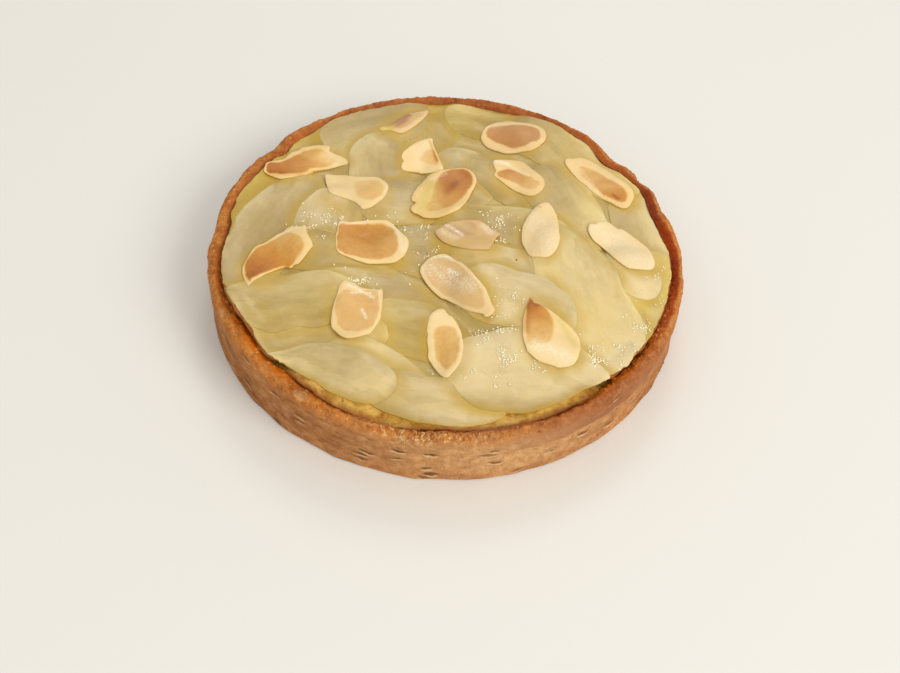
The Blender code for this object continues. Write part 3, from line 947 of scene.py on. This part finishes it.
flesh = t.layered(
    flesh,
    (depth.step(-0.1, 1.1), deeper),
    (shade, (196, 160, 50)),
    (t.attribute("burnt"), (150, 80, 10)),
    # Pale speckle in the flesh, partly a painted sparkle on the jelly
    (grain.step(0.2, 0.6) * 0.2, (246, 230, 186)),
)
ripple = clouds * 0.8 + fibres * 0.3 + grain * (0.1 + jelly * 0.5)
bump = t.add("Bump", None, {"Strength": 0.4, "Distance": 0.0003, "Height": ripple})
feed(pear, Base_Color=flesh, Roughness=0.45 - jelly * 0.2, Normal=bump)

slice_names = [f"pear_slice_{i + 1:02d}" for i in range(SLICE_COUNT)]
flake_names = [f"almond_flake_{i + 1:02d}" for i in range(FLAKE_COUNT)]
slice_outlines = []
for i, node in enumerate(slice_names):
    outline = to_wall(outline_of(node, 8))
    rough = 0.5 * noise_at(outline, 190.0, i) + 0.17 * noise_at(outline, 700.0, i)
    outline[:, :2] += outwards(outline) * (rough * MM)[:, None]
    slice_outlines.append(outline)
flake_outlines = [outline_of(node, 8)[:, :2] for node in flake_names]

for i, node in enumerate(slice_names):
    outline = slice_outlines[i]
    plan, triangles = sheet(outline, SLICE_SPACING)
    edge = np.maximum(depth_inside(plan, outline), 0.0)
    covered = np.full(len(plan), -FAR_OUT)
    for later in slice_outlines[i + 1 :]:
        if touching(plan, later, NEARBY):
            covered = np.maximum(covered, depth_inside(plan, later[::2]))
    beside = covered.copy()
    for flake in flake_outlines:
        if touching(plan, flake, NEARBY):
            beside = np.maximum(beside, depth_inside(plan, flake[::2]) - 0.5 * MM)
    front_rim = cream_shows(plan) * smooth((polar(plan)[0] - 46.0 * MM) / (4.0 * MM))
    beside = np.maximum(beside, -(1.0 * MM + 1.4 * edge) - (1.0 - front_rim) * FAR_OUT)
    middle, axes = main_axes(plan)
    along, across = ((plan - middle) @ axes).T
    deep, yellow, with_length, with_width = SLICE_LOOKS[i]
    lip = LIPS.get(i + 1, LOW_LIP) * MM
    found = np.clip(0.4 + 0.9 * noise_at(plan, 130.0, i + 40), 0.0, 1.0)
    waves = 0.1 * noise_at(plan, 160.0, 0) + 0.05 * noise_at(plan, 520.0, 1)
    height = sampled(top, plan) + found * lip * np.exp(-((edge / THINNING) ** 2))
    height += waves * MM
    under = TUCK_START + TUCK_DEPTH * smooth(covered / TUCK_WIDTH) - waves * MM
    height = np.where(covered > 0.0, sampled(top, plan) - under, height)
    upper = np.column_stack([plan, height])
    lower = upper.copy()
    lower[:, 2] -= SLICE_THICKNESS * (0.6 + 0.4 * smooth(edge / THINNING))
    run = with_length * along / np.abs(along).max() + with_width * across / np.abs(across).max()
    olive = 0.55 * front_rim * np.exp(-edge / (1.5 * MM))
    mesh = sheet_mesh(
        upper,
        lower,
        triangles,
        0.05 * MM,
        pear,
        along=along,
        across=across,
        edge=edge + FAR_IN * front_rim,
        cover=np.maximum(-beside, 0.0),
        deep=deep + run + olive,
        yellow=yellow,
        jelly=jelly_at(plan),
    )
    placed(node + "_glazed", mesh, "pear", node)


# The jelly: clear apricot jelly brushed over the pears. It pools in the gaps between the
# slices, and fine bubbles stand in it where the brush left it thick.

JELLY_AT_BAND = 47.0 * MM
JELLY_SPACING = 1.0 * MM
JELLY_DEPTH = (0.0, 0.0, 0.8 * MM)
turns = np.radians(np.arange(0.0, 360.0, 1.5))
ring = np.column_stack([np.cos(turns), np.sin(turns)])
reach = (wall_radius[column_of(ring)] - 0.3 * MM) * (1.0 - cream_shows(ring))
ring *= (reach + 0.25 * MM + JELLY_AT_BAND * cream_shows(ring))[:, None]
plan, triangles = sheet(ring, JELLY_SPACING)
upper = np.column_stack([plan, sampled(top, plan) - 0.12 * MM])
to_pastry = wall_radius[column_of(plan)] - polar(plan)[0]
looks = {"burnt": smooth(1.3 - to_pastry / (1.2 * MM)), "deep": 0.7, "yellow": 0.5}
looks |= {"edge": FAR_IN, "cover": FAR_IN}
mesh = sheet_mesh(upper, upper - JELLY_DEPTH, triangles, 0.0, pear, **looks)
placed("jelly_pools", mesh, "pear")

# Bubbles painted near white: the bubbles are real, their whiteness is partly a painted glint
clear = surfaced(
    "bubbles_painted_bright",
    Base_Color=srgb(250, 238, 198),
    Roughness=0.1,
    Coat_Weight=1.0,
    Coat_Roughness=0.05,
)[0]
mesh = built("bubble_ground", upper + (0.0, 0.0, 0.19 * MM), triangles)
thick = jelly_at(plan) * smooth(2.6 * noise_at(plan, 440.0, 7) - 0.2)
for flake in flake_outlines:
    thick *= smooth(0.5 - depth_inside(plan, flake) / (0.5 * MM))
keep(mesh, thick=thick)
n = Growth("bubbles_in_jelly")
density = n.size("Bubbles Per Square Metre", 12e6) * n.kept("thick")
ball = n.ball("Bubble Radius", 0.13 * MM)
spread = n.scattered(density, 3, ball, Scale=n.chance(0.35, 2.0, 8))
mesh = n.run(mesh, spread, clear)
mesh.shade_smooth()
placed("jelly_bubbles", mesh, "pear")


# The black specks: three tiny dark grains on the glaze, one near the middle, one to its
# right and one at the lower right. Each is less than half a millimetre across.

black = surfaced("black_speck", Base_Color=srgb(44, 34, 26), Roughness=0.5)[0]
bm = bmesh.new()
for x, y, radius in [(-4.9, -5.7, 0.15), (17.3, -6.6, 0.19), (35.8, -37.0, 0.17)]:
    spot = np.array([[x, y]]) * MM
    place = Matrix.Translation((*spot[0], sampled(top, spot)[0] + 0.1 * MM))
    bmesh.ops.create_icosphere(bm, subdivisions=2, radius=radius * MM, matrix=place)
mesh = bpy.data.meshes.new("black_specks")
bm.to_mesh(mesh)
bm.free()
mesh.shade_smooth()
mesh.materials.append(black)
placed("black_specks", mesh, "pear")


# The almond flakes: blanched almonds shaved thin, toasted in the oven and dropped on the
# glazed pears. Each has a thin cream rim and a middle toasted peach to brown.

almond, t = surfaced(
    "toasted_almond_flake",
    Subsurface_Weight=0.25,
    Subsurface_Radius=(1.0, 0.7, 0.35),
    Subsurface_Scale=0.0006,
    Specular_IOR_Level=0.3,
    Coat_Weight=0.25,
    Coat_Roughness=0.3,
)
place = t.add("TexCoord", None, None, 3)
names = ("toast", "pink", "glassy", "white", "along", "across")
toast, pink, glassy, white, along, across = map(t.attribute, names)
grain = t.add("CombineXYZ", None, {0: along * 260.0, 1: across * 1400.0})
veins = t.noise(grain, 1.0, 3.0, 0.6)
mottle = t.noise(place, 330.0, 6.0, 0.68)
white_speckle = t.noise(place, 1800.0, 3.0, 0.7).step(-0.15, 0.25)
level = (toast + mottle * 0.16 + veins * 0.05).step(-0.05, 1.05)
tones = [
    (0.0, (241, 213, 156)),
    (0.25, (230, 190, 116)),
    (0.45, (216, 164, 84)),
    (0.65, (200, 138, 52)),
    (0.85, (182, 110, 24)),
    (1.0, (148, 86, 24)),
]
skin = t.layered(
    t.add("ValToRGB", {"stops": tones}, {0: level}),
    (pink, (200, 160, 116)),
    (glassy, (214, 186, 86)),
    # White marks: partly pale flesh, partly painted highlights and sparkle of the glaze
    (white * (0.25 + white_speckle * 0.75), (252, 244, 222)),
)
ripple = veins * 0.6 + mottle * 0.8
bump = t.add("Bump", None, {"Strength": 0.4, "Distance": 0.0002, "Height": ripple})
feed(almond, Base_Color=skin, Roughness=0.46 + mottle * 0.06, Normal=bump)

# For each flake: toast of the middle, how it grows along the flake, toast of the margin,
# pinkness, softness of the middle's edge in mm, then a darker spot: place along and across
# (-1 to 1), reach and strength
FLAKE_LOOKS = [
    (0.68, 0.00, 0.16, 0.35, 0.40, 0.00, -0.60, 0.50, 0.08),
    (0.38, -0.25, 0.16, 0.50, 0.64, -0.10, 0.00, 0.25, 0.60),
    (0.56, -0.30, 0.18, 0.00, 0.48, 0.30, -0.75, 0.20, 0.18),
    (0.29, 0.00, 0.12, 0.00, 0.72, 0.35, -0.35, 0.30, 0.06),
    (0.27, 0.08, 0.10, 0.00, 0.88, 0.50, 0.00, 0.40, 0.05),
    (0.59, 0.20, 0.22, 0.00, 0.64, 0.35, 0.10, 0.30, 0.12),
    (0.52, -0.25, 0.20, 0.10, 0.48, -0.50, -0.10, 0.30, 0.08),
    (0.49, 0.16, 0.18, 0.05, 0.72, 0.60, -0.10, 0.35, 0.06),
    (0.05, 0.00, 0.02, 0.00, 1.12, 0.00, 0.00, 0.30, 0.04),
    (0.06, 0.00, 0.08, 0.05, 0.96, -0.50, 0.30, 0.40, 0.05),
    (0.57, -0.28, 0.18, 0.00, 0.56, -0.60, -0.10, 0.50, 0.10),
    (0.53, -0.10, 0.12, 0.00, 0.48, -0.30, 0.30, 0.35, 0.10),
    (0.80, 0.00, 0.30, 0.78, 0.90, -0.20, 0.50, 0.40, 0.10),
    (0.30, -0.05, 0.08, 0.40, 0.32, 0.00, 0.00, 0.50, 0.03),
    (0.36, 0.00, 0.12, 0.25, 0.32, 0.00, -0.40, 0.40, 0.05),
    (0.38, -0.06, 0.03, 0.05, 0.72, 0.00, 0.00, 0.40, 0.05),
    (0.42, 0.25, 0.10, 0.00, 0.64, 0.75, 0.10, 0.25, 0.15),
]
# The outline of each flake and of its toasted middle, seen from above: the x and y of one
# point after another, in tenths of a mm
FLAKE_SHAPES = [
    (  # 1
        [81, 402, 96, 389, 115, 380, 132, 371, 151, 369, 185, 372, 204, 372, 223, 382, 239,
         399, 249, 419, 245, 457, 215, 482, 170, 492, 147, 502, 121, 496, 102, 486, 82, 467,
         69, 428],
        [91, 424, 131, 400, 166, 382, 216, 402, 231, 421, 226, 459, 190, 474, 160, 474, 109,
         474, 83, 448],
    ),
    (  # 2
        [-87, 522, -109, 510, -143, 489, -161, 467, -191, 433, -214, 409, -209, 400, -188,
         406, -158, 397, -143, 405, -113, 442, -93, 483],
        [-150, 417, -111, 464, -99, 490, -106, 501, -144, 484, -185, 438, -205, 415],
    ),
    (  # 3
        [-499, 204, -467, 188, -447, 184, -400, 200, -379, 223, -359, 247, -311, 268, -290,
         272, -290, 281, -301, 292, -333, 309, -344, 318, -344, 330, -371, 338, -393, 335,
         -414, 327, -430, 310, -447, 294, -459, 261, -495, 242, -502, 228],
        [-493, 208, -478, 201, -408, 208, -371, 247, -327, 272, -322, 284, -340, 296, -354,
         313, -374, 322, -399, 314, -421, 295, -457, 250, -484, 240, -496, 228],
    ),
    (  # 4
        [-96, 381, -114, 366, -129, 346, -141, 322, -143, 302, -137, 292, -142, 274, -134,
         261, -100, 265, -84, 261, -46, 262, -31, 269, -30, 283, -44, 320, -62, 369, -68,
         393],
        [-94, 307, -74, 298, -54, 288, -42, 295, -55, 339, -68, 348, -83, 337],
    ),
    (  # 5
        [-338, 206, -332, 181, -319, 141, -303, 130, -265, 118, -248, 108, -235, 96, -225,
         86, -202, 94, -175, 130, -167, 168, -171, 184, -186, 205, -203, 216, -240, 217,
         -265, 220, -291, 229, -317, 230, -340, 228],
        [-249, 139, -234, 117, -216, 112, -195, 119, -182, 135, -177, 159, -187, 183, -207,
         203, -250, 200, -258, 183],
    ),
    (  # 6
        [-27, 266, -48, 255, -65, 240, -82, 200, -95, 169, -101, 148, -102, 128, -91, 121,
         -101, 102, -97, 88, -82, 81, -63, 71, -22, 71, 16, 92, 30, 113, 44, 153, 52, 185,
         60, 208, 63, 227, 58, 247, 48, 264, 30, 276, 11, 276],
        [-40, 226, -53, 139, -63, 109, -49, 90, -3, 105, 17, 128, 37, 171, 54, 225, 49, 250,
         30, 268, 5, 269, -23, 257],
    ),
    (  # 7
        [108, 289, 113, 271, 110, 251, 125, 238, 154, 212, 188, 190, 206, 183, 222, 186,
         234, 198, 243, 215, 244, 233, 237, 253, 209, 289, 191, 319, 169, 328, 123, 321,
         107, 311],
        [125, 248, 166, 230, 188, 211, 209, 202, 224, 208, 228, 232, 193, 259, 153, 283,
         119, 265],
    ),
    (  # 8
        [306, 327, 326, 288, 338, 269, 353, 253, 369, 233, 384, 219, 403, 207, 422, 198,
         440, 184, 455, 178, 471, 187, 486, 226, 473, 259, 440, 293, 423, 314, 380, 353,
         360, 362, 344, 364, 325, 356, 305, 350],
        [343, 302, 358, 276, 393, 227, 434, 202, 453, 196, 465, 207, 462, 238, 418, 282,
         369, 321, 343, 324],
    ),
    (  # 9
        [360, 72, 371, 40, 396, 16, 421, -37, 446, -64, 462, -67, 498, -65, 513, -55, 519,
         -37, 518, -14, 513, 14, 504, 38, 476, 69, 449, 96, 436, 99, 413, 120, 387, 114,
         379, 105, 366, 102, 360, 93],
        [407, 52, 430, 3, 459, -41, 489, -46, 482, -16, 459, 33, 429, 66, 400, 72],
    ),
    (  # 10
        [245, 149, 233, 144, 221, 131, 207, 102, 197, 82, 189, 60, 186, 38, 186, 11, 190,
         -10, 205, -50, 222, -58, 242, -61, 256, -55, 268, -39, 275, -20, 278, 3, 277, 33,
         276, 88, 270, 117, 256, 145],
        [201, 22, 206, -15, 227, -43, 251, -41, 261, -11, 259, 31, 252, 94, 230, 85, 208,
         54],
    ),
    (  # 11
        [-372, -6, -390, -5, -404, -10, -414, -24, -427, -34, -454, -63, -467, -72, -478,
         -88, -490, -138, -490, -158, -484, -177, -466, -211, -461, -205, -451, -187, -424,
         -155, -394, -133, -376, -135, -369, -128, -355, -121, -336, -84, -332, -68, -352,
         -27, -359, -2],
        [-465, -200, -458, -181, -424, -151, -399, -133, -374, -127, -351, -83, -368, -44,
         -400, -31, -437, -59, -472, -91, -486, -146],
    ),
    (  # 12
        [-281, 5, -280, -30, -270, -73, -243, -86, -201, -99, -181, -99, -135, -93, -119,
         -84, -106, -68, -99, -48, -97, -29, -103, -9, -118, 10, -152, 52, -194, 57, -224,
         53, -253, 42, -278, 39],
        [-278, -6, -268, -69, -208, -86, -159, -85, -137, -75, -124, -54, -122, -30, -144,
         30, -193, 47, -252, 34, -276, 28],
    ),
    (  # 13
        [-15, -22, 17, -42, 56, -56, 96, -53, 107, -43, 115, -11, 122, 12, 129, 27, 107, 41,
         92, 55, 77, 63, 57, 62, 12, 50, -7, 40, -18, 26, -33, 7],
        [0, 9, 20, -2, 62, 4, 70, 31, 64, 49, 46, 52, 21, 44, 2, 25],
    ),
    (  # 14
        [-40, -74, -59, -97, -62, -111, -57, -123, -36, -157, -9, -186, 6, -194, 23, -205,
         61, -231, 95, -242, 101, -249, 111, -249, 121, -242, 122, -231, 114, -217, 101,
         -182, 91, -168, 68, -137, 54, -115, 40, -99, 23, -88, 6, -72, -11, -65],
        [-43, -133, -5, -176, 17, -191, 44, -215, 94, -231, 92, -188, 66, -147, 29, -100,
         -13, -76, -51, -97],
    ),
    (  # 15
        [-246, -207, -248, -230, -252, -255, -255, -278, -253, -314, -243, -328, -212, -351,
         -172, -338, -158, -326, -144, -290, -143, -264, -143, -235, -145, -201, -149, -188,
         -154, -192, -188, -197, -201, -197, -212, -191, -225, -192, -238, -192],
        [-234, -318, -196, -332, -159, -314, -149, -261, -158, -201, -182, -205, -201, -220,
         -237, -224, -249, -269],
    ),
    (  # 16
        [-19, -242, -28, -260, -32, -297, -29, -312, -29, -330, -24, -355, -24, -370, -17,
         -383, 4, -414, 14, -425, 24, -427, 31, -421, 48, -394, 55, -356, 54, -331, 49,
         -305, 43, -284, 27, -254, 16, -247, 5, -231, -6, -231],
        [-15, -317, -7, -368, 13, -402, 25, -406, 45, -375, 45, -318, 26, -283, -10, -292],
    ),
    (  # 17
        [196, -233, 192, -258, 191, -289, 191, -318, 200, -348, 203, -358, 229, -380, 261,
         -390, 276, -394, 307, -383, 322, -345, 325, -309, 319, -288, 308, -273, 294, -261,
         260, -233, 230, -212, 217, -205, 207, -196],
        [200, -236, 197, -308, 202, -337, 218, -342, 253, -324, 263, -266, 249, -231, 233,
         -216, 217, -213, 207, -199],
    ),
]
# What marks a flake: its number, both ends of the mark seen from above and half its width in
# mm, then how much toast, white (pale flesh and painted highlight) and glassy yellow it adds
FLAKE_MARKS = [
    (1, 5.8, 45.9, 22.1, 49.5, 0.4, -0.15, 0.3, 0.0),
    (2, -18.3, 41.9, -14.1, 48.1, 0.8, 1.2, 0.0, 0.0),
    (2, -21.7, 39.3, -18.0, 41.5, 1.3, 0.0, 0.0, 0.8),
    (3, -48.9, 19.8, -40.4, 19.9, 0.9, 0.18, 0.0, 0.0),
    (3, -40.4, 19.9, -35.2, 24.5, 0.7, 0.16, 0.0, 0.0),
    (3, -37.2, 23.1, -35.7, 24.4, 0.35, 0.4, 0.0, 0.0),
    (3, -36.0, 30.1, -30.7, 26.6, 1.6, -0.15, 0.1, 0.0),
    (4, -7.2, 37.9, -4.7, 30.3, 0.35, 0.35, 0.0, 0.0),
    (4, -8.8, 36.9, -9.8, 28.9, 1.6, 0.0, 0.25, 0.0),
    (4, -4.7, 33.6, -3.6, 29.6, 1.3, 0.15, 0.0, 0.0),
    (6, 0.9, 21.6, -1.2, 16.3, 1.0, 0.18, 0.0, 0.0),
    (6, -6.0, 19.2, -7.0, 10.7, 2.4, 0.0, 0.0, 0.75),
    (6, -5.5, 13.6, -2.6, 9.4, 1.2, 0.0, 0.1, 0.3),
    (6, -5.5, 22.1, -2.0, 24.9, 0.6, 0.0, 0.3, 0.0),
    (7, 9.9, 31.5, 14.6, 30.3, 0.7, -0.2, 0.8, 0.0),
    (7, 14.6, 30.3, 20.0, 25.7, 0.5, -0.1, 0.3, 0.0),
    (8, 43.0, 21.8, 44.3, 20.8, 0.45, 0.3, 0.0, 0.0),
    (8, 34.2, 31.7, 39.3, 22.2, 0.5, -0.05, 0.25, 0.0),
    (9, 38.1, 4.8, 44.6, -2.3, 0.25, 0.18, 0.0, 0.0),
    (9, 36.6, 7.6, 41.2, 5.2, 0.8, 0.0, 0.4, 0.0),
    (9, 38.0, 9.0, 49.0, -4.0, 4.0, 0.0, 0.4, 0.0),
    (10, 21.0, 8.0, 25.0, -2.0, 4.0, 0.0, 0.35, 0.0),
    (10, 21.4, 14.5, 23.5, 12.5, 0.2, 0.5, 0.0, 0.0),
    (10, 22.2, 10.9, 23.5, 1.9, 1.0, 0.0, 0.2, 0.0),
    (11, -49.2, -7.6, -36.2, 0.1, 0.5, -0.1, 0.4, 0.0),
    (12, -13.6, 4.6, -10.9, -5.1, 0.8, -0.05, 0.4, 0.0),
    (12, -27.4, 3.1, -20.3, 5.0, 0.5, 0.0, 0.3, 0.0),
    (13, -1.8, 4.3, 3.5, -0.1, 0.5, -0.2, 1.0, 0.0),
    (13, 0.2, 5.3, 7.0, 1.7, 1.6, 0.1, 0.1, 0.4),
    (13, -3.2, 2.0, 1.8, -1.4, 1.0, 0.0, 0.4, 0.2),
    (13, 0.5, -3.8, 12.5, -1.0, 1.3, 0.0, 0.0, 0.45),
    (13, 8.9, 4.7, 10.5, 2.7, 1.0, -0.2, 0.5, 0.0),
    (14, -4.4, -9.9, 6.3, -16.8, 2.4, 0.0, 0.5, 0.0),
    (14, 0.7, -11.4, 3.2, -12.8, 0.7, 0.0, 1.0, 0.0),
    (14, -2.6, -7.0, 1.4, -8.0, 0.8, 0.0, 0.7, 0.0),
    (15, -22.6, -20.3, -16.6, -22.2, 0.4, -0.1, 1.0, 0.0),
    (15, -21.6, -22.7, -17.5, -21.0, 0.35, -0.1, 0.9, 0.0),
    (15, -23.5, -19.1, -18.6, -19.2, 0.4, -0.1, 0.8, 0.0),
    (15, -18.7, -26.8, -17.5, -29.2, 0.35, 0.0, 0.9, 0.0),
    (17, 20.3, -19.5, 22.3, -21.4, 0.7, 0.4, 0.0, 0.0),
    (17, 19.9, -20.0, 19.7, -29.9, 0.8, 0.2, 0.0, 0.0),
    (17, 27.0, -23.7, 31.1, -32.4, 1.3, -0.1, 0.1, 0.6),
    (17, 22.1, -33.9, 29.0, -36.7, 1.8, -0.15, 0.5, 0.0),
]
FLAKE_THICKNESS = 0.6 * MM
FLAKE_SUNK = 0.3 * MM
FLAKE_SPACING = 0.45 * MM
# How much of a flake's own bend is left when it has softened on the fruit
STIFFNESS = 0.25


def squares(co):
    """What a curved sheet's height is fitted with: 1, x, y, x², y² and xy at each point."""
    x, y = co[:, 0], co[:, 1]
    return np.column_stack([np.ones(len(co)), x, y, x**2, y**2, x * y])


for i, node in enumerate(flake_names):
    outline, middle_part = [
        filled_in(np.reshape(flat, (-1, 2)) / 10.0 * MM, [8] * (len(flat) // 2), closed=True)
        for flat in FLAKE_SHAPES[i]
    ]
    middle, axes = main_axes(outline)
    half_length, half_width = np.abs((outline - middle) @ axes).max(0)
    rough = 0.07 * noise_at(outline, 500.0, i) + 0.05 * noise_at(outline, 1300.0, i)
    outline = outline + outwards(outline) * (rough * MM)[:, None]
    solid = coordinates(softened(node, 0))
    solid[:, :2] -= middle
    shape = np.linalg.lstsq(squares(solid), solid[:, 2], rcond=None)[0]
    plan, triangles = sheet(outline, FLAKE_SPACING)
    local = plan - middle
    below = squares(local) @ shape - FLAKE_THICKNESS / 2.0
    gap = below - sampled(top, plan)
    below -= gap.min() + FLAKE_SUNK + (1.0 - STIFFNESS) * (gap - gap.min())
    edge = np.maximum(depth_inside(plan, outline), 0.0)
    above = below + FLAKE_THICKNESS * (0.8 + 0.2 * smooth(edge / MM))
    above -= 0.07 * MM * np.exp(-edge / (0.12 * MM))
    above += 0.04 * MM * noise_at(plan, 420.0, i) * smooth(edge / MM)
    upper = np.column_stack([plan, above])
    lower = np.column_stack([plan, below])
    along, across = (local @ axes).T
    u, w = along / half_length, across / half_width
    toast, towards, margin, pink, soft, dark_u, dark_w, reach, dark = FLAKE_LOOKS[i]
    core = depth_inside(plan, middle_part) + 0.3 * MM * noise_at(plan, 420.0, i)
    core += 0.12 * MM * noise_at(plan, 1300.0, i)
    core = smooth(core / (1.2 * soft * MM) + 0.5)
    level = toast + towards * u
    level += dark * np.exp(-((u - dark_u) ** 2 + (w - dark_w) ** 2) / reach**2)
    level = margin * (1.0 - core) + level * core
    white, glassy = np.zeros(len(plan)), np.zeros(len(plan))
    for number, x1, y1, x2, y2, half, toasted, painted_gloss, yellowish in FLAKE_MARKS:
        if number == i + 1:
            start, span = np.array([x1, y1]) * MM, np.array([x2 - x1, y2 - y1]) * MM
            share = np.clip((plan - start) @ span / (span @ span), 0.0, 1.0)
            away = np.hypot(*(plan - start - share[:, None] * span).T) / (half * MM)
            mark = np.exp(-(away**2))
            level = level + toasted * mark
            white = np.maximum(white, painted_gloss * mark)
            glassy = np.maximum(glassy, yellowish * mark)
    mesh = sheet_mesh(
        upper,
        lower,
        triangles,
        0.04 * MM,
        almond,
        along=along,
        across=across,
        white=white,
        glassy=glassy,
        toast=np.maximum(level, 0.0),
        pink=pink ** (2.0 - core),
    )
    placed(node + "_toasted", mesh, "almond", node)


# The floor, the light and the camera, as the tart was photographed: from the front and
# above, in broad soft light with a larger share of it from the right.

FLOOR_HALF = 4.0
corners = np.array([(-1, -1, 0), (1, -1, 0), (1, 1, 0), (-1, 1, 0)]) * FLOOR_HALF
floor_mesh = built("table_top", corners, [(0, 1, 2, 3)])
pale = surfaced("pale_floor", Roughness=0.55, Base_Color=(0.805, 0.785, 0.725, 1.0))[0]
floor_mesh.materials.append(pale)
floor = linked("table_top", floor_mesh)
floor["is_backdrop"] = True

bpy.context.scene.view_settings.view_transform = "Standard"
world = bpy.data.worlds.new("soft_room")
bpy.context.scene.world = world
world.use_nodes = True
world.node_tree.nodes["Background"].inputs["Color"].default_value = (1.0, 0.985, 0.96, 1.0)
world.node_tree.nodes["Background"].inputs["Strength"].default_value = 0.65


def area_light(name, place, target, size, power, colour):
    """A square soft light that faces its target."""
    lamp = bpy.data.lights.new(name, "AREA")
    lamp.size = size
    lamp.energy = power
    lamp.color = colour
    made = linked(name, lamp)
    made.location = place
    made.rotation_euler = (Vector(target) - Vector(place)).to_track_quat("-Z", "Y").to_euler()


area_light("key", (1.08, -0.76, 0.94), (0.0, 0.0, 0.0), 0.8, 15.4, (1.0, 0.975, 0.94))
area_light("fill", (-0.1, -1.0, 0.55), (0.0, -0.06, 0.0), 0.6, 1.2, (1.0, 0.985, 0.96))
area_light("sheen", (0.05, 0.9, 0.9), (0.0, 0.0, 0.0), 0.34, 1.7, (1.0, 0.99, 0.97))

FOCAL_LENGTH = 40.0
ELEVATION = 0.8866
DISTANCE = 253.7 * MM
ROLL = 0.0727
TARGET = Vector((2.29 * MM, -18.0 * MM, 0.0))
back = Vector((0.0, -math.cos(ELEVATION), math.sin(ELEVATION)))
right = Vector((1.0, 0.0, 0.0))
up = Vector((0.0, math.sin(ELEVATION), math.cos(ELEVATION)))
camera_right = right * math.cos(ROLL) + up * math.sin(ROLL)
camera_up = up * math.cos(ROLL) - right * math.sin(ROLL)
lens = bpy.data.cameras.new("photo_view")
lens.lens = FOCAL_LENGTH
lens.sensor_width = 36.0
lens.clip_start = 10 * MM
camera = linked("photo_view", lens)
turned = Matrix((camera_right, camera_up, back)).transposed().to_4x4()
camera.matrix_world = Matrix.Translation(TARGET + back * DISTANCE) @ turned
bpy.context.scene.camera = camera

visual_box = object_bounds()
sizes = {"cad": [list(c) for c in cad_box], "visual": [list(c) for c in visual_box]}
